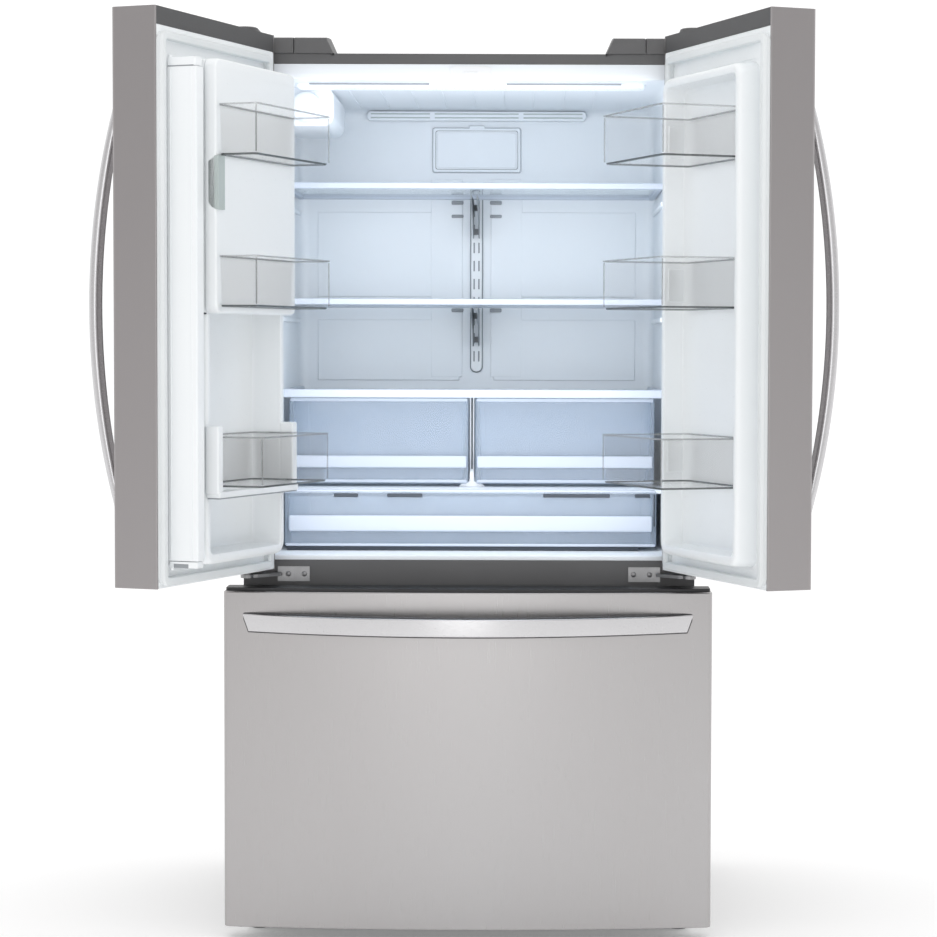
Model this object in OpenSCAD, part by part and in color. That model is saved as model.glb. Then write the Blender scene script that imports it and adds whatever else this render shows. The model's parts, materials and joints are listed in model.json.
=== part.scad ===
// French door refrigerator with a bottom freezer drawer.
// Millimetres, +Z up, fronts face -Y. X = 0 is the middle of the cabinet, Y = 0 the front
// plane of the cabinet, Z = 0 the floor. Both fresh food doors stand open.

/* [Cabinet] */
// Width of the steel case
case_w = 850; // [820:1:880]
// Depth of the steel case behind its front plane
case_d = 690; // [660:5:780]
// Thickness of the side walls, steel to liner
side_wall = 50; // [42:1:64]
// Thickness of the top wall
top_wall = 49; // [42:1:64]
// Thickness of the wall between the two compartments
middle_wall = 74; // [60:1:90]
// Depth of the fresh food compartment
fresh_d = 600; // [560:5:620]
// Depth of the freezer compartment
freezer_d = 450; // [430:5:460]
// Height of the machine compartment at the rear
machine_h = 270; // [240:5:290]

/* [Doors] */
// Width over both doors
door_span = 908; // [890:1:940]
// Height of each door
door_h = 990; // [900:5:1100]
// Thickness of a door at the middle of the refrigerator
door_t = 86; // [80:1:96]
// How far the curved fronts fall back at the outer edges
face_sag = 28; // [14:1:32]
// Gap between the two doors
door_gap = 4; // [3:0.5:8]
// Gap between the doors and the cabinet, filled by the gasket
gasket_gap = 14; // [12:0.5:18]
// Angle at which both doors stand open
door_open = 111; // [95:1:115]
// Distance of the hinge pin from the outer edge of the door
pivot_in = 42; // [38:1:46]
// Distance of the hinge pin from the inner face of the door
pivot_back = 42; // [40:1:44]
// Radius of the hinge pins
pin_r = 7; // [5:0.5:8]
// Height of the raised wall on the inside of the right door
dyke_right = 39; // [30:1:50]
// Height of the raised wall on the inside of the left door
dyke_left = 74; // [60:1:76]
// Depth that the right door bins reach behind the door
bin_right = 174; // [150:1:178]
// Depth that the left door bins reach behind the door
bin_left = 159; // [150:1:166]

/* [Freezer drawer] */
// Height of the drawer front
drawer_h = 629; // [560:5:700]
// Gap under the drawer front
drawer_clear = 25; // [20:1:40]
// Gap between the drawer front and the doors
mid_gap = 38; // [30:1:50]
// Depth of the wire basket
basket_d = 370; // [300:5:380]
// Depth of the tray above the basket
tray_d = 230; // [200:5:240]

/* [Handles] */
// Length of each door handle
handle_l = 750; // [600:10:850]
// Width across the drawer handle
drawer_handle_w = 830; // [700:10:850]
// How far the middle of a handle stands off its door
handle_off = 48; // [40:1:70]
// Thickness of a handle bar
bar_t = 20; // [10:1:24]
// Width of a door handle bar
bar_w = 26; // [20:1:32]
// Height of the drawer handle bar
drawer_bar_h = 37; // [28:1:42]

/* [Shelves and drawers] */
// How far the shelf fronts stand behind the front plane
shelf_back = 200; // [190:1:230]
// Height of the upper shelf above the fresh food floor
shelf_upper = 712; // [640:1:730]
// Height of the middle shelf above the fresh food floor
shelf_middle = 486; // [440:1:520]
// Height of the crisper cover above the fresh food floor
crisper_top = 310; // [290:1:340]
// Height of the pantry cover above the fresh food floor
pantry_top = 118; // [110:1:124]
// How far the pantry front stands behind the front plane
pantry_back = 100; // [95:1:130]

/* [Hidden] */
$fn = 48;
arc_fn = 720;

// Sheet, liner and clearances
steel_t = 1.2;
liner_t = 2;
fit = 0.4;           // face to face clearance between pieces that don't touch
pin_fit = 0.06;      // radial clearance of a pin in its bore
edge = 3;            // return of the door skin on its inner face
seam = 0.1;          // gap between the pieces of one moulding

// Levels
drawer_z0 = drawer_clear;
drawer_z1 = drawer_z0 + drawer_h;
door_z0 = drawer_z1 + mid_gap;
door_z1 = door_z0 + door_h;
case_top = door_z1 - 28;
fresh_z0 = drawer_z1 + 62;
fresh_z1 = case_top - top_wall;
freezer_z0 = 90;
freezer_z1 = fresh_z0 - middle_wall;
base_z = 32;
pan_z = 60;
machine_z1 = pan_z + machine_h;

// Widths and depths
case_x = case_w / 2;
inner_x = case_x - side_wall;
liner_x = inner_x + liner_t;
frame_x = case_x - 22;
frame_step = 6;
front_y = -(gasket_gap + door_t);
inner_y = -gasket_gap;
face_r = (pow(door_span / 2, 2) + pow(face_sag, 2)) / (2 * face_sag);
half_span = door_span / 2;
side_y = front_y + face_sag;
pivot_x = half_span - pivot_in;
pivot_y = inner_y - pivot_back;
chamfer = 10;

// Doors
cap_top = 31;
cap_bottom = 20;
door_x0 = door_gap / 2;
liner_x0 = door_x0 + edge;
liner_x1 = half_span - chamfer - edge;
gasket_x0 = door_x0 + 2;
gasket_x1 = pivot_x + 2;
gasket_w = 14;
gasket_z0 = fresh_z0 - 19;
gasket_z1 = fresh_z1 + 35;
dyke_z0 = fresh_z0 + 12;
dyke_z1 = fresh_z1 - 10;
dyke_x1 = inner_x - 4;
dyke_wall = 20;
flap_t = 22;
flap_w = 59;
flap_px = -27.75;
flap_py = 0.25;
flap_foot = 7.25;    // from the flap's pin to its edge next to the door
flap_pin_r = 3.5;
flap_z0 = dyke_z0;
flap_z1 = fresh_z1 - 9;

// Ice compartment on the left door
ice_z0 = fresh_z1 - 442;
ice_z1 = fresh_z1 - 8;
ice_x0 = 62;
ice_face = inner_y + dyke_left + 9;
ice_door_t = 22;
ice_pivot_x = -(dyke_x1 - 6);
ice_pivot_y = ice_face - ice_door_t / 2;

// Levels of the door bins: the upper two hang from the top, the lowest stands on the floor
bin_levels = [fresh_z1 - 173, fresh_z1 - 431, fresh_z0 + 148];
bin_h = 88;
bin_wall = 2.4;
carrier_h = 130;

// Dispenser in the front of the left door
dispenser_x = -300;
dispenser_w = 190;
dispenser_z = door_z0 + 330;
dispenser_h = 330;
dispenser_deep = 52;

// Drawer
handle_z = drawer_z1 - 58;
post_r = 9;
slide_z = freezer_z0 + 60;
basket_z1 = freezer_z0 + 320;
tray_z0 = basket_z1 + 12;
drawer_cap_h = 12;

// Base: legs at the front, rollers at the rear
leg_x = case_x - 26;
leg_y = 46;
leg_r = 6;
roller_x = case_x - 25;
roller_y = case_d - 60;
roller_r = 24;
roller_w = 20;
axle_r = 4;

// Hinges. corner_r is how far the door's inner corner reaches from the pin
corner_r = norm([pivot_in - chamfer, pivot_back]);
arm_t = 5;
arm_z = door_z1 + 2;
hinge_z = door_z0 - 12;
cover_x0 = case_x - 171;
cover_y0 = pivot_y + corner_r + 0.7;
cover_y1 = 118;
cover_h = 40;
cover_t = 2;
arm_r = case_x - cover_t - pivot_x - 1;

// Shelves and clear drawers. The drawers pass between the corners of the opened doors
shelf_x = inner_x - 3;
shelf_t = 12;
shelf_d1 = fresh_d - 36;
crisper_z0 = fresh_z0 + pantry_top + 6;
crisper_z1 = fresh_z0 + crisper_top - 24;
crisper_gap = 9;
crisper_y1 = fresh_d - 40;
drawer_x = pivot_x - corner_r - 4;

// Machine compartment
machine_wall = 36;
machine_y0 = freezer_d + liner_t + machine_wall;
fan_x = -70;
fan_y = machine_y0 + 90;
fan_z = pan_z + 110;

// Ice door latch, and the dispenser paddle with its pin
latch_h = 94;
latch_z = ice_z0 + 176;
latch_x = -ice_x0 - 32;
latch_px = latch_x + 5;
latch_py = ice_face - 3;
latch_pin_r = 2;
paddle_z = dispenser_z + dispenser_h - 134;
paddle_y = front_y + 38;
paddle_w = 48;
paddle_pin_r = 3;

color_steel = [0.69, 0.68, 0.68];
color_dark = [0.34, 0.34, 0.35];
color_white = [0.93, 0.95, 0.97];
color_clear = [0.80, 0.88, 0.92];
color_foam = [0.93, 0.86, 0.62];

// ---- helpers -------------------------------------------------------------------------------

// A box given by its lowest and highest corner
module block(a, b) translate(a) cube(b - a);

// A block mirrored to both sides of the middle plane
module both() { children(); mirror([1, 0, 0]) children(); }

// Children modelled on the right closed door, carried to the left or right open door
module hung(side) {
  translate([side * pivot_x, pivot_y, 0]) rotate([0, 0, side * door_open])
    translate([-side * pivot_x, -pivot_y, 0])
      if (side < 0) mirror([1, 0, 0]) children(); else children();
}

// Children modelled on the closed left door at their true place
module hung_left() {
  translate([-pivot_x, pivot_y, 0]) rotate([0, 0, -door_open])
    translate([pivot_x, -pivot_y, 0]) children();
}

// Block whose front follows the curved face, set back by inset
module faced(x0, x1, y1, z0, z1, inset = 0) {
  intersection() {
    block([x0, front_y + inset - 1, z0], [x1, y1, z1]);
    translate([0, front_y + face_r, z0 - 1])
      cylinder(r = face_r - inset, h = z1 - z0 + 2, $fn = arc_fn);
  }
}

// Box with walls and a floor, open at the top
module bin(a, b, wall) {
  difference() {
    block(a, b);
    block(a + [wall, wall, wall], b + [-wall, -wall, 1]);
  }
}

// Flat ring in the XZ plane
module ring_xz(a, b, w, y0, y1) {
  difference() {
    block([a[0], y0, a[1]], [b[0], y1, b[1]]);
    block([a[0] + w, y0 - 1, a[1] + w], [b[0] - w, y1 + 1, b[1] - w]);
  }
}

// Pan open towards -Y with a flange around its mouth
module liner_pan(x, depth, z0, z1, flange_x, flange_z0, flange_z1) {
  difference() {
    union() {
      block([-x - liner_t, 0, z0 - liner_t], [x + liner_t, depth + liner_t, z1 + liner_t]);
      block([-flange_x, 0, flange_z0], [flange_x, liner_t, flange_z1]);
    }
    block([-x, -1, z0], [x, depth, z1]);
  }
}

// ---- cabinet -------------------------------------------------------------------------------

module case_shell() color(color_dark) {
  difference() {
    block([-case_x, frame_step, base_z], [case_x, case_d, case_top]);
    block([-case_x + steel_t, frame_step - 1, base_z - 1],
      [case_x - steel_t, case_d + 1, case_top - steel_t]);
  }
}

module back_panel() color("silver")
  block([-case_x + steel_t, case_d - steel_t, machine_z1 + 1],
    [case_x - steel_t, case_d, case_top - steel_t]);

module side_insulation() color(color_foam)
  both() block([liner_x, frame_step, pan_z], [case_x - steel_t, case_d - steel_t, case_top - steel_t]);

module deck_insulation() color(color_foam) {
  back = fresh_d + liner_t;
  block([-liner_x, frame_step, fresh_z1 + liner_t], [liner_x, back, case_top - steel_t]);
  block([-liner_x, frame_step, freezer_z1 + liner_t], [liner_x, back, fresh_z0 - liner_t]);
  block([-liner_x, frame_step, pan_z], [liner_x, freezer_d + liner_t, freezer_z0 - liner_t]);
}

module rear_insulation() color(color_foam) {
  back = case_d - steel_t;
  mouth = freezer_d + liner_t;
  block([-liner_x, fresh_d + liner_t, freezer_z1 + liner_t], [liner_x, back, case_top - steel_t]);
  block([-liner_x, mouth, machine_z1], [liner_x, back, freezer_z1 + liner_t - fit]);
  block([-liner_x, mouth, pan_z], [liner_x, machine_y0, machine_z1 - fit]);
}

module fridge_liner() color(color_white) {
  liner_pan(inner_x, fresh_d, fresh_z0, fresh_z1, frame_x - 5, fresh_z0 - 10, fresh_z1 + 30);
  // ledges that carry the crisper cover and the pantry cover
  both() for (z = [crisper_top - 20, pantry_top - 16])
    block([inner_x - 6, pantry_back + 100, fresh_z0 + z - 8], [inner_x, fresh_d, fresh_z0 + z]);
}

module freezer_liner() color(color_white)
  liner_pan(inner_x, freezer_d, freezer_z0, freezer_z1, frame_x - 5, freezer_z0 - 20,
    freezer_z1 + 3);

module front_frame() color(color_dark) {
  difference() {
    block([-frame_x, 0, pan_z], [frame_x, frame_step - 0.2, case_top]);
    block([-frame_x + 5, -1, fresh_z0 - 10], [frame_x - 5, frame_step + 1, fresh_z1 + 30]);
    block([-frame_x + 5, -1, freezer_z0 - 20], [frame_x - 5, frame_step + 1, freezer_z1 + 3]);
  }
  both() block([frame_x - 1, frame_step - 2, pan_z], [case_x, frame_step - 0.2, case_top]);
}

module base_frame() color([0.25, 0.25, 0.27]) {
  difference() {
    union() {
      block([-case_x + steel_t, 12, pan_z - 2], [case_x - steel_t, case_d - 2, pan_z - 0.1]);
      both() {
        block([liner_x + 2, 12, base_z], [case_x - steel_t - 1, 80, pan_z - 1]);
        block([liner_x + 2, 80, base_z], [liner_x + 6, case_d - 10, pan_z - 1]);
        for (x = [roller_x - roller_w / 2 - 5, roller_x + roller_w / 2 + 2])
          block([x, roller_y - 18, roller_r - 12], [x + 3, roller_y + 18, pan_z - 1]);
      }
      block([-liner_x - 3, 12, base_z], [liner_x + 3, 20, pan_z - 1]);
      block([-liner_x - 3, case_d - 14, base_z + 10], [liner_x + 3, case_d - 10, pan_z - 1]);
    }
    both() {
      translate([leg_x, leg_y, -1]) cylinder(r = leg_r + fit, h = pan_z + 2);
      translate([roller_x - 40, roller_y, roller_r]) rotate([0, 90, 0])
        cylinder(r = axle_r, h = 80);
      block([roller_x - roller_w / 2 - 2, roller_y - roller_r - 4, -1],
        [roller_x + roller_w / 2 + 2, roller_y + roller_r + 4, roller_r * 2 + 3]);
    }
  }
}

module leveling_legs() color("dimgray")
  both() translate([leg_x, leg_y, 0]) {
    cylinder(r = 20, h = 8);
    cylinder(r = 12, h = 14, $fn = 6);
    cylinder(r = leg_r, h = pan_z - 4);
  }

module rear_rollers() color([0.2, 0.2, 0.2])
  both() translate([roller_x - roller_w / 2, roller_y, roller_r]) rotate([0, 90, 0]) {
    cylinder(r = roller_r, h = roller_w);
    translate([0, 0, -5]) cylinder(r = axle_r - pin_fit, h = roller_w + 10);
  }

// ---- hinges --------------------------------------------------------------------------------

// Cover over one top hinge: a deep part on the case and a shallow part over the door
module hinge_covers() color(color_dark)
  both() difference() {
    union() {
      hull() {
        block([cover_x0 + 14, cover_y0, case_top], [case_x, cover_y1, case_top + cover_h]);
        block([cover_x0, cover_y0, case_top], [case_x, cover_y1, case_top + 10]);
      }
      hull() {
        translate([pivot_x, pivot_y - 4, door_z1 + 1.5])
          cylinder(r = 24, h = case_top + cover_h - door_z1 - 1.5, $fn = 32);
        block([pivot_x - 24, cover_y0 - 1, door_z1 + 1.5], [case_x, cover_y0, case_top + cover_h]);
      }
    }
    block([cover_x0 + 18, cover_y0 + cover_t, case_top - 1],
      [case_x - cover_t, cover_y1 - cover_t, case_top + cover_h - cover_t]);
    block([pivot_x - 16, pivot_y - 14, door_z1 + 1],
      [case_x - cover_t, 1, case_top + cover_h - cover_t]);
  }

// Upper and lower hinge brackets with their pins
module door_hinges() color([0.62, 0.63, 0.65])
  both() {
    // upper: base on the case, riser, arm and pin
    block([pivot_x - 120, 6, case_top], [pivot_x + 6, 100, case_top + 4]);
    block([pivot_x - 16, 6, case_top + 4], [pivot_x + 6, 60, arm_z + arm_t]);
    block([pivot_x - 16, pivot_y, arm_z], [pivot_x + 6, 60, arm_z + arm_t]);
    translate([pivot_x, pivot_y, arm_z]) cylinder(r = arm_r, h = arm_t);
    translate([pivot_x, pivot_y, door_z1 - 22]) cylinder(r = pin_r, h = 24 + arm_t);
    // lower: plate on the middle rail, arm and pin
    block([pivot_x - 112, -3, hinge_z - 14], [pivot_x - 52, 0, hinge_z + 14]);
    block([pivot_x - 56, -3, hinge_z - 8], [pivot_x - 52, 0, hinge_z + 8]);
    block([pivot_x - 60, -14, hinge_z - 3], [pivot_x - 30, -2, hinge_z + 3]);
    slanted_arm();
    translate([pivot_x, pivot_y, hinge_z - 3]) cylinder(r = 12, h = 6);
    translate([pivot_x, pivot_y, hinge_z]) cylinder(r = pin_r, h = door_z0 + 16 - hinge_z);
  }

// Slanted arm from the lower plate out to the pin
module slanted_arm()
  translate([0, 0, hinge_z - 3]) linear_extrude(6)
    polygon([[pivot_x - 60, -2], [pivot_x - 30, -2], [pivot_x + 11, pivot_y + 4],
      [pivot_x + 4, pivot_y - 11], [pivot_x - 20, pivot_y + 4], [pivot_x - 60, -16]]);

module hinge_screws() color([0.8, 0.8, 0.82])
  both() {
    for (x = [pivot_x - 102, pivot_x - 72])
      translate([x, -3, hinge_z]) rotate([90, 0, 0]) cylinder(r = 5, h = 3);
    for (x = [pivot_x - 106, pivot_x - 60, pivot_x - 28], y = [20, 84])
      if (x < pivot_x - 40 || y > 60)
        translate([x, y, case_top + 4]) cylinder(r = 6, h = 3.5);
  }

// ---- inside the fresh food compartment -----------------------------------------------------

// Glass shelf in a frame, with a bracket that hooks into the rail
module glass_shelf(z) color(color_clear) {
  block([-shelf_x, shelf_back, z - shelf_t], [shelf_x, shelf_back + 16, z]);
  both() block([shelf_x - 12, shelf_back, z - shelf_t], [shelf_x, shelf_d1, z]);
  block([-shelf_x, shelf_d1 - 14, z - shelf_t], [shelf_x, shelf_d1, z]);
  block([-shelf_x + 4, shelf_back + 4, z - 7], [shelf_x - 4, shelf_d1 - 4, z - 3]);
  for (x = [-7, 5])
    block([x, shelf_back + 120, z - 34], [x + 2, shelf_d1, z - 5]);
}
module upper_shelf() glass_shelf(fresh_z0 + shelf_upper);
module middle_shelf() glass_shelf(fresh_z0 + shelf_middle);

// Cover over the crispers with the divider that stands between them
module crisper_cover() color(color_clear) {
  z = fresh_z0 + crisper_top;
  block([-shelf_x, shelf_back - 4, z - 16], [shelf_x, shelf_back + 16, z]);
  block([-shelf_x, shelf_back + 10, z - 12], [shelf_x, shelf_d1, z - 4]);
  block([-crisper_gap + 4, shelf_back + 20, fresh_z0 + pantry_top], [crisper_gap - 4, crisper_y1, z - 8]);
  block([-shelf_x, pantry_back + 10, fresh_z0 + pantry_top - 8],
    [shelf_x, shelf_d1, fresh_z0 + pantry_top]);
}

// Clear drawer with a thicker front
module crisper(x0, x1) color(color_clear) {
  bin([x0, shelf_back + 14, crisper_z0], [x1, crisper_y1, crisper_z1], 3);
  block([x0 - 2, shelf_back, crisper_z0], [x1 + 2, shelf_back + 15, crisper_z1 + 6]);
  block([x0 + 30, shelf_back - 8, crisper_z0 + 40], [x1 - 30, shelf_back + 1, crisper_z0 + 60]);
}
module crisper_left() crisper(-drawer_x, -crisper_gap);
module crisper_right() crisper(crisper_gap, drawer_x);

module pantry_drawer() color(color_clear) {
  x = drawer_x;
  z1 = fresh_z0 + pantry_top - 12;
  bin([-x, pantry_back + 14, fresh_z0 + 8], [x, crisper_y1, z1], 3);
  block([-x - 2, pantry_back, fresh_z0 + 8], [x + 2, pantry_back + 15, z1]);
  block([-x - 2, pantry_back, z1], [x + 2, pantry_back + 9, fresh_z0 + pantry_top]);
  block([-x, pantry_back - 7, fresh_z0 + 36], [x, pantry_back + 1, fresh_z0 + 66]);
}

// Slotted rail that carries the shelves
module shelf_rail() color(color_white)
  difference() {
    block([-12, fresh_d - 24, fresh_z0 + 340], [12, fresh_d - 2, fresh_z0 + 740]);
    for (z = [fresh_z0 + 356 : 38 : fresh_z0 + 720], x = [-8, 4])
      block([x, fresh_d - 25, z], [x + 4, fresh_d - 10, z + 24]);
  }

module air_duct_panel() color(color_white) {
  block([-108, fresh_d - 22, fresh_z0 + 760], [108, fresh_d - 0.2, fresh_z1 - 12]);
  ring_xz([-92, fresh_z0 + 764], [92, fresh_z0 + 850], 5, fresh_d - 25, fresh_d - 20);
  both() block([30, fresh_d - 12, fresh_z0 + 340], [96, fresh_d - 0.2, fresh_z0 + 759]);
}

module ceiling_lamp() color("white") {
  block([-330, 60, fresh_z1 - 8], [330, 120, fresh_z1 - 0.2]);
}

module water_filter() color(color_white) {
  block([-inner_x + 4, 140, fresh_z1 - 74], [-inner_x + 110, 430, fresh_z1 - 0.2]);
  translate([-inner_x + 57, 126, fresh_z1 - 37]) rotate([-90, 0, 0]) cylinder(r = 30, h = 20);
}

// ---- machine compartment -------------------------------------------------------------------

module compressor() color([0.12, 0.12, 0.13])
  translate([-230, machine_y0 + 96, pan_z]) {
    for (x = [-70, 70]) translate([x, 0, 0]) cylinder(r = 12, h = 16);
    translate([-85, -45, 12]) cube([170, 90, 4]);
    translate([0, 0, 15]) cylinder(r = 78, h = 110);
    translate([0, 0, 125]) cylinder(r1 = 78, r2 = 40, h = 42, $fn = 64);
    translate([60, 0, 150]) cylinder(r = 5, h = 60);
  }

module condenser() color([0.4, 0.36, 0.3]) {
  x0 = 60;
  for (i = [0 : 9])
    block([x0 + i * 26, machine_y0 + 20, pan_z + 6], [x0 + i * 26 + 2, machine_y0 + 130, pan_z + 190]);
  for (z = [30, 80, 130, 180]) for (y = [36, 76, 112])
    translate([x0 - 6, machine_y0 + y, pan_z + z - 10]) rotate([0, 90, 0])
      cylinder(r = 4, h = 250);
  block([x0 - 6, machine_y0 + 20, pan_z], [x0 + 250, machine_y0 + 130, pan_z + 8]);
}

// Axial fan whose axis runs along X
module condenser_fan() color([0.15, 0.15, 0.16])
  translate([fan_x, fan_y, fan_z]) rotate([0, 90, 0]) {
    translate([0, 0, -12]) cylinder(r = 20, h = 24);
    for (a = [0 : 72 : 359]) rotate([0, 0, a]) translate([16, 0, 0]) rotate([28, 0, 0])
      translate([0, -16, -1.5]) cube([52, 32, 3]);
  }

module machine_cover() color([0.3, 0.3, 0.32])
  difference() {
    union() {
      block([-liner_x, case_d - 3, pan_z + 2], [liner_x, case_d, machine_z1 - 1]);
      // bracket that carries the fan, and the power inlet housing
      block([fan_x + 16, machine_y0 + 2, pan_z], [fan_x + 19, fan_y + 76, fan_z + 76]);
      block([250, case_d - 30, machine_z1 - 70], [330, case_d - 2, machine_z1 - 20]);
    }
    translate([fan_x - 1, fan_y, fan_z]) rotate([0, 90, 0]) cylinder(r = 66, h = 30);
    for (x = [-330 : 30 : 210], z = [0 : 34 : 150])
      block([x, case_d - 5, pan_z + 24 + z], [x + 20, case_d + 1, pan_z + 32 + z]);
    block([262, case_d - 20, machine_z1 - 58], [318, case_d + 1, machine_z1 - 32]);
  }

module evaporator() color("lightgray") {
  y = freezer_d - 42;
  pitch = (freezer_z1 - freezer_z0 - 332) / 5;
  block([-250, y - 6, freezer_z0 + 200], [250, y - 4, freezer_z1 - 20]);
  for (i = [0 : 11])
    block([-220 + i * 40, y, freezer_z0 + 230], [-218 + i * 40, y + 34, freezer_z1 - 60]);
  for (z = [0 : 5])
    translate([-236, y + 16, freezer_z0 + 250 + z * pitch]) rotate([0, 90, 0])
      cylinder(r = 5, h = 472);
  both() block([236, y - 5, freezer_z0 + 200], [240, y + 41.5, freezer_z1 - 20]);
}

// ---- doors ---------------------------------------------------------------------------------

// Steel skin: front and both sides, with narrow returns on the inner face
module door_skin() {
  difference() {
    faced(door_x0, half_span, inner_y, door_z0, door_z1);
    faced(door_x0 + steel_t, half_span - steel_t, inner_y - steel_t, door_z0 - 1, door_z1 + 1, steel_t);
    block([liner_x0, inner_y - 3, door_z0 - 1], [liner_x1, inner_y + 1, door_z1 + 1]);
    door_chamfer(door_z0, door_z1, 0);
  }
  difference() {
    faced(half_span - 2 * chamfer, half_span, inner_y, door_z0, door_z1);
    door_chamfer(door_z0, door_z1, 0);
    block([half_span - 3 * chamfer, front_y, door_z0 - 1],
      [half_span - steel_t, inner_y - 2 * chamfer, door_z1 + 1]);
    translate([half_span, inner_y - chamfer - steel_t * 1.42, door_z0 - 1]) rotate([0, 0, 135])
      translate([-40, 0, 0]) cube([80, 60, door_h + 2]);
    block([half_span - 3 * chamfer, front_y, door_z0 - 1], [liner_x1, inner_y + 1, door_z1 + 1]);
  }
}

// The cut that takes off the inner corner at the hinge side
module door_chamfer(z0, z1, inset)
  translate([half_span, inner_y - chamfer - inset * 1.42, z0 - 1]) rotate([0, 0, 45])
    translate([-40, 0, 0]) cube([80, 40, z1 - z0 + 2]);

module door_body(z0, z1, y1)
  difference() {
    faced(door_x0 + steel_t, half_span - steel_t, y1, z0, z1, steel_t);
    door_chamfer(z0, z1, steel_t);
  }

module door_core() door_body(door_z0 + cap_bottom, door_z1 - cap_top, inner_y - liner_t);

// End caps with the bores for the hinge pins
module door_caps() {
  difference() {
    union() {
      difference() {
        door_body(door_z1 - cap_top, door_z1, inner_y - steel_t);
        block([door_x0, front_y, door_z1 + 1], [half_span, 0, door_z1 + 2]);
      }
      block([liner_x0, inner_y - 3, door_z1 - cap_top], [liner_x1, inner_y, door_z1]);
    }
    translate([pivot_x, pivot_y, door_z1 - 25]) cylinder(r = pin_r + pin_fit, h = 30);
  }
  difference() {
    door_body(door_z0, door_z0 + cap_bottom, inner_y - liner_t);
    translate([pivot_x, pivot_y, door_z0 - 1]) cylinder(r = pin_r + pin_fit, h = 18.5);
  }
}

// Inner plastic panel with the raised wall that holds the bins
module door_liner(x0, h) {
  y1 = inner_y + h;
  block([liner_x0, inner_y - liner_t, door_z0], [liner_x1, inner_y, door_z1 - cap_top]);
  difference() {
    block([x0, inner_y + seam, dyke_z0], [dyke_x1, y1, dyke_z1]);
    block([x0 + dyke_wall, inner_y, dyke_z0 + dyke_wall + 40],
      [dyke_x1 - dyke_wall, y1 + 1, dyke_z1 - dyke_wall]);
  }
}

module door_gasket()
  ring_xz([gasket_x0, gasket_z0], [gasket_x1, gasket_z1], gasket_w, inner_y, -0.5);

// Bow handle on its two posts
module door_handle() {
  r = (pow(handle_l / 2, 2) + pow(handle_off, 2)) / (2 * handle_off);
  half_a = asin(handle_l / 2 / r);
  x = door_x0 + 44;
  z = door_z0 + 480;
  face = face_at(x);
  translate([x, face - handle_off - bar_t / 2 + r, z]) rotate([0, 90, 0])
    rotate([0, 0, 270 - half_a]) rotate_extrude(angle = 2 * half_a, $fn = 360)
      translate([r - bar_t / 2, -bar_w / 2]) square([bar_t, bar_w]);
  for (s = [-1, 1])
    translate([x, face - 0.2, z + s * (handle_l / 2 - 26)]) rotate([90, 0, 0])
      cylinder(r = post_r, h = 14);
}

// Where the curved front lies at a distance x from the middle
function face_at(x) = front_y + face_r - sqrt(face_r * face_r - x * x);

module left_door_skin() color(color_steel) hung(-1)
  difference() {
    door_skin();
    block([-dispenser_x - dispenser_w / 2, front_y - 1, dispenser_z],
      [-dispenser_x + dispenser_w / 2, front_y + 40, dispenser_z + dispenser_h]);
  }
module right_door_skin() color(color_steel) hung(1) door_skin();
module left_door_core() color(color_foam) hung(-1)
  difference() {
    door_core();
    block([-dispenser_x - dispenser_w / 2, front_y - 1, dispenser_z],
      [-dispenser_x + dispenser_w / 2, front_y + dispenser_deep + 12, dispenser_z + dispenser_h]);
  }
module right_door_core() color(color_foam) hung(1) door_core();
module left_door_caps() color(color_dark) hung(-1) door_caps();
module right_door_caps() color(color_dark) hung(1) door_caps();
module left_door_liner() color(color_white) {
  hung(-1) {
    difference() {
      door_liner(ice_x0 + 4, dyke_left);
      block([ice_x0 - 1, ice_face - ice_door_t - 1, ice_z0 - 1], [half_span, ice_face + 1, ice_z1 + 20]);
    }
    // cheeks that carry the lower bin
    for (x = [ice_x0 + 4, dyke_x1 - 8])
      block([x, inner_y + dyke_left - 1, bin_levels[2] - 12],
        [x + 8, ice_face, bin_levels[2] - 12 + carrier_h]);
  }
  hung_left() flap_brackets();
}
module right_door_liner() color(color_white) hung(1) door_liner(dyke_wall * 2 + 2, dyke_right);
module left_door_gasket() color("whitesmoke") hung(-1) door_gasket();
module right_door_gasket() color("whitesmoke") hung(1) door_gasket();
module left_handle() color("silver") hung(-1) door_handle();
module right_handle() color("silver") hung(1) door_handle();

// Bins between the raised walls of the right door
module right_door_bins() color(color_clear) hung(1)
  for (z = bin_levels)
    bin([dyke_wall * 3 + 2.4, inner_y + 4, z],
      [dyke_x1 - dyke_wall - 24, inner_y + bin_right, z + bin_h], bin_wall);

module left_lower_bin() color(color_clear) hung(-1)
  bin([ice_x0 + 4 + dyke_wall + fit, inner_y + 4, bin_levels[2]],
    [dyke_x1 - dyke_wall - fit, inner_y + bin_left, bin_levels[2] + bin_h], bin_wall);

// ---- mullion flap --------------------------------------------------------------------------

module flap_brackets()
  for (z = [flap_z0 - 5, flap_z1 + 1])
    difference() {
      block([-ice_x0 - 5, flap_py - 6, z], [flap_px + 6, flap_py + 6, z + 4]);
      translate([flap_px, flap_py, z - 1]) cylinder(r = flap_pin_r + pin_fit, h = 6);
    }

// Folded flap that closes the gap between the doors
module mullion_flap() color(color_white) hung_left() {
  x1 = flap_px - 0.25;
  y0 = flap_py - flap_foot;
  block([x1 - flap_t, y0, flap_z0], [x1, y0 + flap_w, flap_z1]);
  translate([flap_px, flap_py, flap_z0 - 4]) cylinder(r = flap_pin_r, h = flap_z1 - flap_z0 + 8);
}

// ---- ice compartment -----------------------------------------------------------------------

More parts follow.
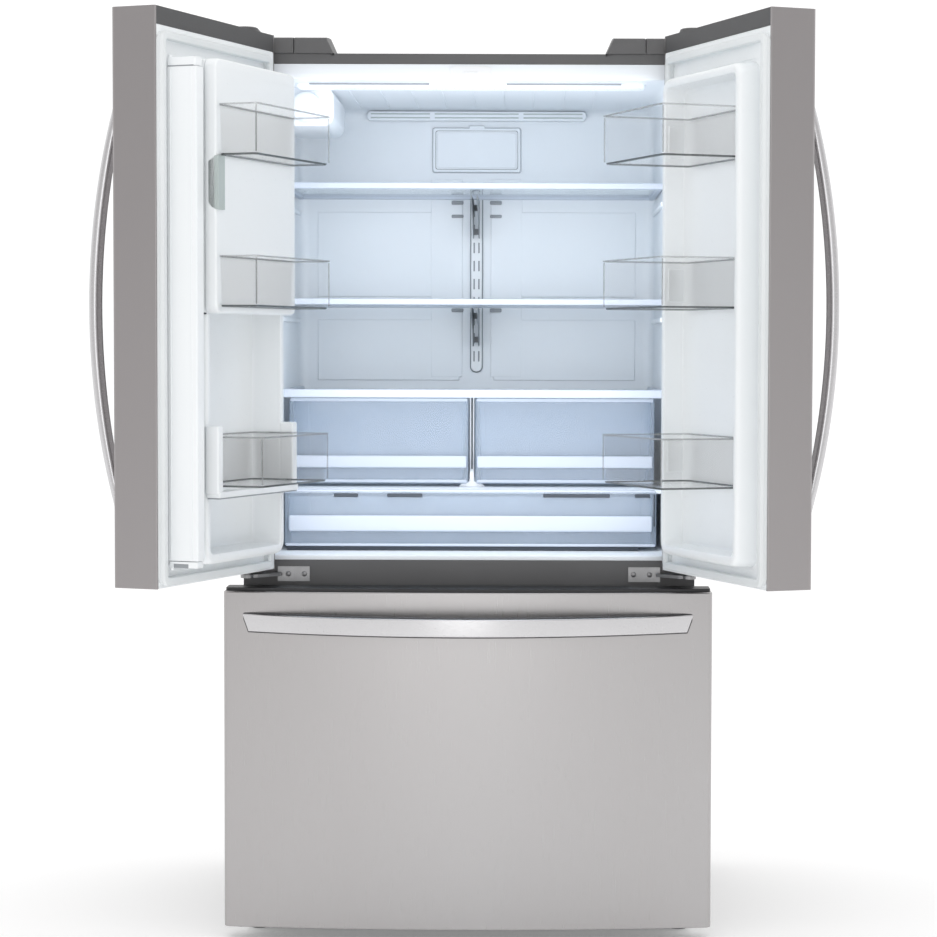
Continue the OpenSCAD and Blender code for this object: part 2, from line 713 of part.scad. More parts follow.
module ice_housing() color(color_white) hung(-1) {
  x1 = dyke_x1;
  y1 = ice_face - ice_door_t - 1;
  difference() {
    block([ice_x0 + dyke_wall + 5, inner_y + 1, ice_z0 + 8], [x1 - dyke_wall - 1, y1, ice_z1 - dyke_wall - 6]);
    block([ice_x0 + dyke_wall + 13, inner_y + 8, ice_z0 + 16],
      [x1 - dyke_wall - 9, y1 + 1, ice_z1 - dyke_wall - 14]);
  }
}

// Bucket below, ice maker mould above
module ice_bucket() color(color_clear) hung(-1) {
  y1 = ice_face - ice_door_t - 4;
  bin([ice_x0 + dyke_wall + 20, inner_y + 10, ice_z0 + 20],
    [dyke_x1 - dyke_wall - 20, y1, ice_z0 + 220], 3);
  for (i = [0 : 6])
    bin([ice_x0 + dyke_wall + 24 + i * 32, inner_y + 10, ice_z0 + 280],
      [ice_x0 + dyke_wall + 54.5 + i * 32, y1 - 6, ice_z0 + 310], 2);
}

// Insulated door of the ice compartment, hinged at its outer side
module ice_door() color(color_white) hung_left()
  difference() {
    union() {
      block([ice_pivot_x + 6, ice_face - ice_door_t, ice_z0], [-ice_x0, ice_face, ice_z1]);
      translate([ice_pivot_x, ice_pivot_y, ice_z0]) cylinder(r = 8, h = ice_z1 - ice_z0);
      block([ice_pivot_x, ice_pivot_y - 4, ice_z0], [ice_pivot_x + 8, ice_pivot_y + 8, ice_z1]);
    }
    translate([latch_x, ice_face - ice_door_t - 1, latch_z]) cube([40, 50, latch_h]);
    translate([latch_px, latch_py, latch_z - 4])
      cylinder(r = latch_pin_r + pin_fit, h = latch_h + 8);
  }

// Latch set into the free edge of the ice door, turning on an upright pin
module ice_latch() color([0.70, 0.76, 0.74]) hung_left() {
  block([latch_x + 3, ice_face - ice_door_t + 2, latch_z + 1],
    [-ice_x0, ice_face + 4, latch_z + latch_h - 1]);
  translate([latch_px, latch_py, latch_z - 3]) cylinder(r = latch_pin_r, h = latch_h + 6);
}

module ice_door_bins() color(color_clear) hung(-1)
  for (z = [bin_levels[0], bin_levels[1]])
    bin([ice_x0 + 4, ice_face, z], [dyke_x1 - 14, inner_y + bin_left, z + bin_h], bin_wall);

// ---- dispenser -----------------------------------------------------------------------------

module dispenser_panel() color([0.16, 0.16, 0.17]) hung(-1) {
  x = -dispenser_x;
  w = dispenser_w / 2 - 0.3;
  difference() {
    faced(x - w, x + w, front_y + dispenser_deep + 8, dispenser_z + 0.3, dispenser_z + dispenser_h - 0.3, 0);
    block([x - w + 8, front_y - 1, dispenser_z + 12],
      [x + w - 8, front_y + dispenser_deep, dispenser_z + dispenser_h - 110]);
  }
  translate([x, front_y + 34, dispenser_z + dispenser_h - 128]) cylinder(r = 9, h = 22);
  // ears that carry the paddle's pin
  for (s = [-1, 1])
    difference() {
      block([x + s * (paddle_w / 2 + 4) - 2, paddle_y - 6, paddle_z - 6],
        [x + s * (paddle_w / 2 + 4) + 2, paddle_y + 6, dispenser_z + dispenser_h - 109]);
      paddle_pin(x, paddle_pin_r + pin_fit, 30);
    }
}

module paddle_pin(x, r, extra)
  translate([x - paddle_w / 2 - extra, paddle_y, paddle_z]) rotate([0, 90, 0])
    cylinder(r = r, h = paddle_w + 2 * extra);

module dispenser_paddle() color([0.3, 0.3, 0.32]) hung(-1) {
  x = -dispenser_x;
  block([x - paddle_w / 2, paddle_y - 2, dispenser_z + 90], [x + paddle_w / 2, paddle_y + 2, paddle_z]);
  paddle_pin(x, paddle_pin_r, 6.5);
}

// ---- freezer drawer ------------------------------------------------------------------------

module drawer_skin() color(color_steel)
  difference() {
    faced(-half_span, half_span, inner_y, drawer_z0, drawer_z1);
    faced(-half_span + steel_t, half_span - steel_t, inner_y + 1, drawer_z0 - 1, drawer_z1 + 1, steel_t);
  }

module drawer_core() color(color_white)
  faced(-half_span + steel_t, half_span - steel_t, inner_y, drawer_z0 + 4, drawer_z1 - drawer_cap_h, steel_t);

module drawer_cap() color([0.1, 0.1, 0.11]) {
  faced(-half_span + steel_t, half_span - steel_t, inner_y, drawer_z1 - drawer_cap_h, drawer_z1 - 1, steel_t);
  block([-half_span + 12, side_y + 12, drawer_z1 - 2], [half_span - 12, inner_y, drawer_z1 + 6]);
}

module drawer_gasket() color("whitesmoke")
  ring_xz([-frame_x + 8, freezer_z0 - 18], [frame_x - 8, freezer_z1 + 1], gasket_w, inner_y, -0.5);

module drawer_handle() color("silver") {
  span = drawer_handle_w / 2;
  rise = handle_off + bar_t / 2 + face_at(span) - front_y;
  r = (span * span + rise * rise) / (2 * rise);
  half_a = asin(span / r);
  translate([0, face_at(span) - rise + r, handle_z - drawer_bar_h / 2])
    rotate([0, 0, 270 - half_a]) rotate_extrude(angle = 2 * half_a, $fn = 360)
      translate([r, 0]) square([bar_t, drawer_bar_h]);
}

// Basket on its carrier frame, fixed to the drawer front
module freezer_basket() color(color_white) {
  x = inner_x - 36;
  bin([-x, 14, freezer_z0 + 24], [x, 14 + basket_d, basket_z1], 4);
  both() block([x - 40, inner_y, slide_z - 4], [x - 30, 16, slide_z + 26]);
}

module freezer_tray() color(color_clear) {
  x = inner_x - 44;
  bin([-x, 24, tray_z0], [x, 24 + tray_d, tray_z0 + 110], 3);
}

module drawer_slides() color("silver")
  both() block([inner_x - 10, 12, slide_z], [inner_x, 12 + basket_d, slide_z + 36]);

module slide_runners() color("lightgray")
  both() {
    block([inner_x - 22, 6, slide_z + 6], [inner_x - 10.4, 12 + basket_d, slide_z + 30]);
    block([inner_x - 36, 6, slide_z + 10], [inner_x - 21, 30, slide_z + 26]);
    block([inner_x - 30, inner_y, slide_z + 6], [inner_x - 10.4, 7, slide_z + 30]);
  }

case_shell();
back_panel();
side_insulation();
deck_insulation();
rear_insulation();
fridge_liner();
freezer_liner();
front_frame();
base_frame();
leveling_legs();
hinge_covers();
door_hinges();
hinge_screws();
upper_shelf();
middle_shelf();
crisper_cover();
shelf_rail();
air_duct_panel();
ceiling_lamp();
water_filter();
compressor();
condenser();
machine_cover();
evaporator();
drawer_slides();
rear_rollers();
condenser_fan();
crisper_left();
crisper_right();
pantry_drawer();
left_door_skin();
left_door_core();
left_door_caps();
left_door_liner();
left_door_gasket();
left_handle();
ice_housing();
ice_bucket();
ice_door();
ice_door_bins();
ice_latch();
left_lower_bin();
mullion_flap();
dispenser_panel();
dispenser_paddle();
right_door_skin();
right_door_core();
right_door_caps();
right_door_liner();
right_door_gasket();
right_handle();
right_door_bins();
drawer_skin();
drawer_core();
drawer_cap();
drawer_gasket();
drawer_handle();
freezer_basket();
freezer_tray();
slide_runners();
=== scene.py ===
import json
import math

import bmesh
import bpy
import numpy as np
from mathutils import Matrix, Vector


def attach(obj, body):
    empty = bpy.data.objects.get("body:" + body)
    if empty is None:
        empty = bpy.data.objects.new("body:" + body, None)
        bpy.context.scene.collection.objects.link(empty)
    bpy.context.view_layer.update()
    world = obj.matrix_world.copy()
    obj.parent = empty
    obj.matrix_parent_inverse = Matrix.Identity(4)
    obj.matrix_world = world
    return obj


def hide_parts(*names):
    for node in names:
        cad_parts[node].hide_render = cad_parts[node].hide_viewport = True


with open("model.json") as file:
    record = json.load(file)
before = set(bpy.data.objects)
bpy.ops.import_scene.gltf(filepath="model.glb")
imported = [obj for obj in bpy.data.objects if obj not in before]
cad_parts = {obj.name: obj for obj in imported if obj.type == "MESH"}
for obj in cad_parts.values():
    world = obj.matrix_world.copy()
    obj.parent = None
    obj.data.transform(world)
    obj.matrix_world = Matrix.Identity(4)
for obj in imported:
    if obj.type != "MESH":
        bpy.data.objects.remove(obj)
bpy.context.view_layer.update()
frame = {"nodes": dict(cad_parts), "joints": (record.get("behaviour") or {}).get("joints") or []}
MM = 0.001
STILL = Matrix.Identity(4)


# ---- places ---------------------------------------------------------------------------------

def joint(name):
    return next(j for j in frame["joints"] if j["name"] == name)


def opened(name, side):
    """Carries a point of the closed right door, or its mirror image, to where that door stands."""
    j = joint(name)
    pin = Matrix.Translation(Vector(j["pos_m"]))
    turn = Matrix.Rotation(-math.radians(j["range_deg"][0]), 4, Vector(j["axis"]))
    return pin @ turn @ pin.inverted() @ Matrix.Diagonal((side, 1, 1, 1))


LEFT = opened("left_door_hinge", -1)
RIGHT = opened("right_door_hinge", 1)


def points_of(node, place=STILL):
    """A CAD node's vertices in millimetres, taken back to the closed door where place is one."""
    back = np.array(place.inverted())
    co = np.array([v.co for v in frame["nodes"][node].data.vertices], float)
    return (co @ back[:3, :3].T + back[:3, 3]) / MM


def box_of(node, place=STILL):
    co = points_of(node, place)
    return Vector(co.min(0)), Vector(co.max(0))


def solids_of(node, place=STILL):
    """The box of each separate solid in a CAD node, in millimetres, highest first."""
    bm = bmesh.new()
    bm.from_mesh(frame["nodes"][node].data)
    bmesh.ops.remove_doubles(bm, verts=bm.verts, dist=1e-5)
    back = place.inverted()
    left, boxes = set(bm.verts), []
    for first in bm.verts:
        if first not in left:
            continue
        left.discard(first)
        todo = [first]
        group = list(todo)
        while todo:
            for e in todo.pop().link_edges:
                for v in e.verts:
                    if v in left:
                        left.discard(v)
                        todo.append(v)
                        group.append(v)
        co = np.array([back @ v.co for v in group]) / MM
        boxes.append((Vector(co.min(0)), Vector(co.max(0))))
    bm.free()
    return sorted(boxes, key=lambda b: (-round(b[0].z), b[0].x))    # a tie keeps the order of the mesh


# ---- mesh helpers, all in millimetres -------------------------------------------------------

class Shape:
    """A mesh being built."""

    def __init__(self):
        self.bm = bmesh.new()

    def box(self, a, b, r=0.0, seg=2):
        lo = Vector([min(p, q) for p, q in zip(a, b)])
        hi = Vector([max(p, q) for p, q in zip(a, b)])
        verts = bmesh.ops.create_cube(self.bm, size=1)["verts"]
        for v in verts:
            v.co = Vector([(lo[i] + hi[i]) / 2 + v.co[i] * (hi[i] - lo[i]) for i in range(3)])
        r = min(r, min(hi - lo) * 0.49)
        if r > 0:
            edges = list(dict.fromkeys(e for v in verts for e in v.link_edges))   # each once, in a fixed order
            bmesh.ops.bevel(self.bm, geom=edges, offset=r, segments=seg, profile=0.5,
                            affect="EDGES", clamp_overlap=True)
        return self

    def pair(self, a, b, r=0.0, seg=2):
        """A box and its mirror image across the middle of the cabinet."""
        for s in (-1, 1):
            self.box((s * a[0], *a[1:]), (s * b[0], *b[1:]), r, seg)
        return self

    def prism(self, outline, a, b, axis=2, r=0.0, seg=2):
        """An outline of two coordinates, drawn out from a to b along an axis."""
        def at(p, t):
            q = [p[0], p[1]]
            q.insert(axis, t)
            return Vector(q)
        rings = [[self.bm.verts.new(at(p, t)) for p in outline] for t in (a, b)]
        n = len(outline)
        faces = [self.bm.faces.new(rings[0]), self.bm.faces.new(rings[1])]
        for i in range(n):
            k = (i + 1) % n
            faces.append(self.bm.faces.new((rings[0][i], rings[0][k], rings[1][k], rings[1][i])))
        bmesh.ops.recalc_face_normals(self.bm, faces=faces)
        if r > 0:
            edges = [e for f in faces[:2] for e in f.edges]
            bmesh.ops.bevel(self.bm, geom=edges, offset=r, segments=seg, profile=0.5,
                            affect="EDGES", clamp_overlap=True)
        return self

    def stack(self, loops, close_first=True, close_last=True, ring=False):
        """Loops of as many points each, joined one to the next."""
        rows = [[self.bm.verts.new(Vector(p)) for p in loop] for loop in loops]
        n = len(rows[0])
        faces = []
        pairs = list(zip(rows, rows[1:]))
        if ring:
            pairs.append((rows[-1], rows[0]))
        for a, b in pairs:
            for i in range(n):
                k = (i + 1) % n
                faces.append(self.bm.faces.new((a[i], a[k], b[k], b[i])))
        if close_first and not ring:
            faces.append(self.bm.faces.new(rows[0]))
        if close_last and not ring:
            faces.append(self.bm.faces.new(rows[-1]))
        bmesh.ops.recalc_face_normals(self.bm, faces=faces)
        return self

    def tube(self, path, r, sides=8):
        """A round bar along a path of points."""
        path = [Vector(p) for p in path]
        loops = []
        up = Vector((0.3, 0.2, 1)).normalized()
        for i, p in enumerate(path):
            along = (path[min(i + 1, len(path) - 1)] - path[max(i - 1, 0)]).normalized()
            u = along.cross(up)
            u = (u if u.length > 0.1 else along.cross(Vector((1, 0, 0)))).normalized()
            w = along.cross(u)
            loops.append([p + u * (r * math.cos(t)) + w * (r * math.sin(t))
                          for t in [2 * math.pi * k / sides for k in range(sides)]])
        return self.stack(loops)

    def lathe(self, profile, centre, axis=2, sides=40):
        """Radius and height pairs turned about an axis through centre."""
        loops = []
        for rad, h in profile:
            loop = []
            for k in range(sides):
                t = 2 * math.pi * k / sides
                p = [rad * math.cos(t), rad * math.sin(t)]
                p.insert(axis, h)
                loop.append(Vector(p) + Vector(centre))
            loops.append(loop)
        return self.stack(loops)


def rounded(x0, x1, z0, z1, r, n=5):
    """Outline of a rounded rectangle, with as many points whatever its radius."""
    r = max(0.01, min(r, (x1 - x0) / 2 - 0.01, (z1 - z0) / 2 - 0.01))
    out = []
    for cx, cz, start in ((x1 - r, z0 + r, -90), (x1 - r, z1 - r, 0), (x0 + r, z1 - r, 90), (x0 + r, z0 + r, 180)):
        for k in range(n + 1):
            t = math.radians(start + 90 * k / n)
            out.append((cx + r * math.cos(t), cz + r * math.sin(t)))
    return out


def facing(outline, depth):
    """An outline in the XZ plane at a depth along Y."""
    return [(x, depth, z) for x, z in outline]


def panel_loop(lo, hi, inset, depth, r, n=5):
    """A rounded rectangle drawn in from a box's front, at a depth along Y."""
    return facing(rounded(lo.x + inset, hi.x - inset, lo.z + inset, hi.z - inset, r, n), depth)


def lying(outline, height):
    """An outline in the XY plane at a height."""
    return [(x, y, height) for x, y in outline]


def piece(name, shape, body, look, place=STILL, nodes=(), smooth=38):
    """Turns a shape into an object that rides on a body."""
    bm = shape.bm
    for v in bm.verts:
        v.co = place @ (v.co * MM)
    if place.determinant() < 0:
        bmesh.ops.reverse_faces(bm, faces=bm.faces)
    mesh = bpy.data.meshes.new(name)
    bm.to_mesh(mesh)
    bm.free()
    mesh.shade_smooth()
    mesh.set_sharp_from_angle(angle=math.radians(smooth))
    obj = bpy.data.objects.new(name, mesh)
    bpy.context.scene.collection.objects.link(obj)
    mesh.materials.append(look)
    obj.modifiers.new("normals", "WEIGHTED_NORMAL").keep_sharp = True
    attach(obj, body)
    if nodes:
        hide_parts(*nodes)
    return obj


def fixed(name, shape, look, nodes=()):
    """A piece that belongs to the cabinet."""
    return piece(name, shape, "cabinet", look, STILL, nodes)


# ---- materials ------------------------------------------------------------------------------

class Nodes:
    """A material's nodes, made by short calls."""

    def __init__(self, name):
        self.mat = bpy.data.materials.new(name)
        self.mat.use_nodes = True
        self.tree = self.mat.node_tree
        self.shader = self.tree.nodes["Principled BSDF"]
        self.where = self.add("ShaderNodeTexCoord").outputs["Object"]

    def add(self, kind, **values):
        node = self.tree.nodes.new(kind)
        for key, value in values.items():
            setattr(node, key, value)
        return node

    def link(self, a, b):
        self.tree.links.new(a, b)

    def noise(self, scale, detail=2.0, rough=0.5):
        spread = self.add("ShaderNodeMapping")
        spread.inputs["Scale"].default_value = (scale,) * 3 if isinstance(scale, (int, float)) else scale
        self.link(self.where, spread.inputs["Vector"])
        tex = self.add("ShaderNodeTexNoise")
        tex.inputs["Scale"].default_value = 1.0
        tex.inputs["Detail"].default_value = detail
        tex.inputs["Roughness"].default_value = rough
        self.link(spread.outputs["Vector"], tex.inputs["Vector"])
        return tex.outputs["Fac"]

    def span(self, value, lo, hi, start=0.3, stop=0.7):
        m = self.add("ShaderNodeMapRange")
        for key, v in (("From Min", start), ("From Max", stop), ("To Min", lo), ("To Max", hi)):
            m.inputs[key].default_value = v
        self.link(value, m.inputs["Value"])
        return m.outputs["Result"]

    def blend(self, value, a, b):
        m = self.add("ShaderNodeMix", data_type="RGBA")
        self.link(value, m.inputs["Factor"])
        m.inputs["A"].default_value = (*a, 1)
        m.inputs["B"].default_value = (*b, 1)
        return m.outputs["Result"]

    def bump(self, value, strength, distance):
        b = self.add("ShaderNodeBump")
        b.inputs["Strength"].default_value = strength
        b.inputs["Distance"].default_value = distance
        self.link(value, b.inputs["Height"])
        self.link(b.outputs["Normal"], self.shader.inputs["Normal"])

    def set(self, **sockets):
        for key, value in sockets.items():
            self.shader.inputs[key.replace("_", " ").title().replace("Ior", "IOR")].default_value = value


def surface(name, colour, rough, metal=0.0, broad=5, tone=0.05, warm=(1, 1, 1), fine=500,
            rough_by=0.05, bump=0.15, depth=0.0002, **sockets):
    """A solid surface: broad changes of tone, fine grain in its roughness and relief."""
    n = Nodes(name)
    dark = [c * (1 - tone) * w for c, w in zip(colour, warm)]
    light = [min(1, c * (1 + tone)) for c in colour]
    large = n.noise(broad, 2)
    grain = n.noise(fine, 3, 0.6)
    n.link(n.blend(n.span(large, 0, 1), dark, light), n.shader.inputs["Base Color"])
    n.link(n.span(grain, rough - rough_by, rough + rough_by), n.shader.inputs["Roughness"])
    n.bump(grain, bump, depth)
    n.set(metallic=metal, **sockets)
    return n.mat


def clear(name, tint, faint, strong, rough=0.06, start=0.0):
    """Clear plastic or glass: what it covers grows where it is seen edge on."""
    n = Nodes(name)
    weight = n.add("ShaderNodeLayerWeight")
    weight.inputs["Blend"].default_value = 0.35
    cover = n.span(weight.outputs["Facing"], faint, strong, start, 1.0)
    n.link(cover, n.shader.inputs["Alpha"])
    cloud = n.noise(14, 2)
    n.link(n.blend(n.span(cloud, 0, 1), [c * 0.95 for c in tint], tint), n.shader.inputs["Base Color"])
    n.link(n.span(n.noise(90, 2), rough * 0.6, rough * 1.4), n.shader.inputs["Roughness"])
    n.bump(n.noise(30, 1), 0.05, 0.0005)
    n.set(specular_ior_level=0.7)
    return n.mat


steel = surface("brushed_steel", (0.455, 0.446, 0.447), 0.30, metal=1.0, broad=(1.6, 1.6, 0.35), tone=0.035,
                warm=(1.0, 0.985, 0.98), fine=(900, 900, 14), rough_by=0.03, bump=0.05, depth=0.00005)
# the doors' steel is the drawer front's brushed steel made darker: painted shade on the doors
shaded_door_steel = surface("door_steel_painted_shade", (0.365, 0.350, 0.352), 0.36, metal=1.0, broad=(1.6, 1.6, 0.5), tone=0.04,
                     warm=(1.0, 0.985, 0.985), fine=(900, 900, 14), rough_by=0.03, bump=0.05, depth=0.00005)
satin = surface("satin_handle", (0.62, 0.615, 0.625), 0.24, metal=1.0, broad=4, tone=0.03,
                fine=(60, 900, 900), rough_by=0.05, bump=0.08, depth=0.00005)
case_paint = surface("case_paint", (0.043, 0.044, 0.046), 0.6, fine=420, rough_by=0.12, bump=0.5,
                     depth=0.0003)
frame_paint = surface("frame_paint", (0.105, 0.105, 0.107), 0.45, tone=0.06, fine=600, bump=0.2)
zinc_sheet = surface("zinc_sheet", (0.50, 0.51, 0.53), 0.46, metal=0.9, broad=130, tone=0.05,
                     fine=220, rough_by=0.12, bump=0.1)
zinc = surface("zinc_plate", (0.30, 0.30, 0.305), 0.36, metal=1.0, broad=30, tone=0.1,
               fine=700, rough_by=0.1, bump=0.15)
trim = surface("trim_plastic", (0.066, 0.066, 0.068), 0.5, tone=0.05, fine=900, rough_by=0.08,
               bump=0.35, depth=0.00015)
cover_grey = surface("cover_plastic", (0.12, 0.12, 0.122), 0.5, tone=0.05, fine=900, bump=0.2)
black = surface("black_plastic", (0.022, 0.022, 0.024), 0.45, tone=0.15, fine=800, rough_by=0.1, bump=0.3)
gloss_black = surface("gloss_black", (0.012, 0.012, 0.014), 0.12, tone=0.1, fine=60, rough_by=0.03, bump=0.02)
liner = surface("liner_plastic", (0.89, 0.915, 0.93), 0.32, broad=(3, 3, 1.5), tone=0.02, warm=(0.99, 1, 1),
                fine=260, rough_by=0.05, bump=0.04, depth=0.0002, specular_ior_level=0.4)
inside = surface("inside_plastic", (0.83, 0.865, 0.905), 0.34, broad=(2.5, 2.5, 2), tone=0.025, warm=(0.985, 1, 1),
                 fine=260, rough_by=0.05, bump=0.04, depth=0.0002, specular_ior_level=0.4)
white = surface("white_plastic", (0.84, 0.86, 0.88), 0.38, tone=0.02, fine=500, bump=0.08,
                depth=0.0001, specular_ior_level=0.4)
vinyl = surface("gasket_vinyl", (0.76, 0.79, 0.80), 0.55, tone=0.03, fine=300, rough_by=0.08, bump=0.1)
foam = surface("blown_foam", (0.80, 0.70, 0.42), 0.85, broad=40, tone=0.12, fine=900, bump=0.6)
latch_grey = surface("latch_plastic", (0.47, 0.53, 0.52), 0.4, tone=0.03, fine=600, bump=0.12)
label_grey = surface("grey_plastic", (0.30, 0.32, 0.34), 0.4, tone=0.05, fine=600, bump=0.12)
# near-black for slots, and for painted shade in gaps and under edges
slot_and_shade_dark = surface("slot_and_shade_dark", (0.035, 0.045, 0.06), 0.5, tone=0.15, fine=500, bump=0.1)
fins = surface("fin_aluminium", (0.70, 0.71, 0.72), 0.38, metal=1.0, broad=20, tone=0.06, bump=0.15)
wire_white = surface("coated_wire", (0.82, 0.84, 0.86), 0.35, tone=0.03, fine=400, bump=0.1)
tyre = surface("roller_plastic", (0.03, 0.03, 0.03), 0.6, tone=0.15, fine=700, bump=0.3)
coil = surface("coil_paint", (0.03, 0.028, 0.026), 0.4, tone=0.15, fine=500, bump=0.2)
band_white = surface("band_white", (0.50, 0.55, 0.63), 0.4, tone=0.02, fine=500, bump=0.08)
bin_clear = clear("clear_bin", (0.93, 0.95, 0.96), 0.02, 0.26, start=0.5)
# grey for the bins' rims and near-black for their feet: painted shade, standing in for how the thick edges of clear
# plastic look
bin_rim_shade = clear("bin_rim_shade", (0.40, 0.42, 0.43), 0.30, 0.72, 0.12)
bin_foot_shadow = clear("bin_foot_shadow", (0.10, 0.115, 0.12), 0.72, 0.95, 0.2)
drawer_clear = clear("clear_drawer", (0.56, 0.67, 0.81), 0.24, 0.60)
glass = clear("shelf_glass", (0.70, 0.82, 0.88), 0.18, 0.5)
lens = surface("lamp_lens", (0.92, 0.96, 1.0), 0.3, tone=0.01, fine=300, bump=0.02,
               emission_color=(0.80, 0.90, 1.0, 1), emission_strength=0.10)


def dress(look, *nodes):
    """A CAD node that is shown as it is takes a material."""
    for node in nodes:
        mesh = frame["nodes"][node].data
        mesh.materials.clear()
        mesh.materials.append(look)


# ---- doors ----------------------------------------------------------------------------------

skin_lo, skin_hi = box_of("right_door_skin", RIGHT)
plate_lo, plate_hi = box_of("right_door_liner", RIGHT)
core_lo, core_hi = box_of("right_door_core", RIGHT)
drawer_lo, drawer_hi = box_of("drawer_skin")
HALF = skin_hi.x                     # half the width over both doors
FRONT = drawer_lo.y                  # the curved fronts, at the middle
INNER = skin_hi.y                    # the doors' inner face
edge_points = points_of("drawer_skin")
SIDE = edge_points[edge_points[:, 0] > HALF - 0.5][:, 1].min()
SAG = SIDE - FRONT
FACE_R = (HALF ** 2 + SAG ** 2) / (2 * SAG)
STEEL_T = core_lo.x - skin_lo.x
Z0, Z1 = skin_lo.z, skin_hi.z
CAP0, CAP1 = core_lo.z, core_hi.z    # the end caps lie beyond these heights
PIVOT = Vector(joint("right_door_hinge")["pos_m"]) / MM


def face_y(x):
    return FRONT + FACE_R - math.sqrt(FACE_R ** 2 - x ** 2)


def corner(before, at, after, r, n=5):
    """The points that round a corner off."""
    a, p, b = Vector(before), Vector(at), Vector(after)
    u, w = (a - p).normalized(), (b - p).normalized()
    half = math.acos(max(-1, min(1, u.dot(w)))) / 2
    t = r / math.tan(half)
    middle = p + (u + w).normalized() * (r / math.sin(half))
    s, e = p + u * t - middle, p + w * t - middle
    turn = math.atan2(s.x * e.y - s.y * e.x, s.dot(e))
    out = []
    for k in range(n + 1):
        c, d = math.cos(turn * k / n), math.sin(turn * k / n)
        out.append((middle.x + s.x * c - s.y * d, middle.y + s.x * d + s.y * c))
    return out


def skin_outline(x0, x1, inset, chamfer=10.0, steps=24):
    """The door's outline from its inner edge round the curved front to its hinge side."""
    f0, f1 = face_y(x0) + inset, face_y(x1) + inset
    a, b = x0 + inset, x1 - inset
    y = INNER - inset
    c = chamfer
    pts = corner((a + 9, y), (a, y), (a, f0), max(2.0 - inset, 0.4), 3)
    pts += corner((a, y), (a, f0), (a + 30, face_y(a + 30) + inset), 7 - inset)
    for k in range(1, steps):
        x = a + 14 + (b - a - 28) * k / steps
        pts.append((x, face_y(x) + inset))
    pts += corner((b - 30, face_y(b - 30) + inset), (b, f1), (b, y), 7 - inset)
    pts += [(b, y - c), (b - c, y)]
    return pts


def door(tag, place, body, pocket=None):
    """Steel skin, foam core and end caps. A pocket is the box let into the front for the dispenser."""
    outer = skin_outline(skin_lo.x, HALF, 0)
    inner = skin_outline(skin_lo.x, HALF, STEEL_T)
    start, stop = plate_lo.x + 0.5, plate_hi.x
    back = INNER - STEEL_T
    whole = [(start, INNER)] + outer + [(stop, INNER), (stop, back)] + inner[::-1] + [(start, back)]
    body_outline = skin_outline(skin_lo.x, HALF, STEEL_T + 0.15)
    shape, filling = Shape(), Shape()
    if pocket:
        (xa, _, za), (xb, depth, zb) = pocket

        def side_of(points, test):
            return [p for p in points if test(p)]
        ya, yb = face_y(xa), face_y(xb)
        low = side_of(outer, lambda p: p[0] < xa), side_of(inner, lambda p: p[0] < xa)
        high = side_of(outer, lambda p: p[0] > xb), side_of(inner, lambda p: p[0] > xb)
        near = [(start, INNER)] + low[0] + [(xa, ya), (xa, ya + STEEL_T)] + low[1][::-1] + [(start, back)]
        far = [(xb, yb)] + high[0] + [(stop, INNER), (stop, back)] + high[1][::-1] + [(xb, yb + STEEL_T)]
        shape.prism(whole, Z0, za).prism(near, za, zb).prism(far, za, zb).prism(whole, zb, Z1)
        notch = side_of(body_outline, lambda p: p[0] < xa)
        notch += [(xa, ya + 1.4), (xa, depth), (xb, depth), (xb, yb + 1.4)]
        notch += side_of(body_outline, lambda p: p[0] > xb)
        filling.prism(body_outline, CAP0 + 0.2, za).prism(notch, za, zb).prism(body_outline, zb, CAP1 - 0.2)
    else:
        shape.prism(whole, Z0, Z1)
        filling.prism(body_outline, CAP0 + 0.2, CAP1 - 0.2)
    # the door skins take the darkened steel, painted shade
    piece(f"{tag}_skin", shape, body, shaded_door_steel, place, [f"{tag}_door_skin"])
    piece(f"{tag}_core", filling, body, foam, place, [f"{tag}_door_core"])
    # end caps, a little inside the skin, with a step round their rim
    shape = Shape()
    for z0, z1 in ((CAP1 + 0.2, Z1 - 1.0), (Z0 + 1.0, CAP0 - 0.2)):
        shape.prism(body_outline, z0, z1, r=0.8)
    shape.box((start, INNER - 2.2, CAP1), (plate_hi.x, INNER, Z1), 0.7)
    pin = (PIVOT.x, PIVOT.y, 0)
    shape.lathe([(9, Z1 - 2), (15, Z1 - 2), (15, Z1 - 0.2), (14, Z1), (9, Z1)], pin, sides=36)
    piece(f"{tag}_caps", shape, body, trim, place, [f"{tag}_door_caps"])


def gasket(name, node, body, place=STILL):
    """Magnetic door seal: a base strip, a bellows and a rounded lip."""
    lo, hi = box_of(node, place)
    depth = hi.y - lo.y
    profile = [(0.5, 0), (0, 0.25), (1.6, 0.34), (1.6, 0.46), (0, 0.55), (0, 0.8), (1.5, 0.97), (4, 1.0),
               (10, 1.0), (12.5, 0.97), (14, 0.8), (14, 0.55), (12.4, 0.46), (12.4, 0.34), (14, 0.25), (13.5, 0)]
    shape = Shape().stack([panel_loop(lo, hi, off, lo.y + depth * h, max(16 - off, 1.5), 6) for off, h in profile],
                          ring=True)
    piece(name, shape, body, vinyl, place, [node])


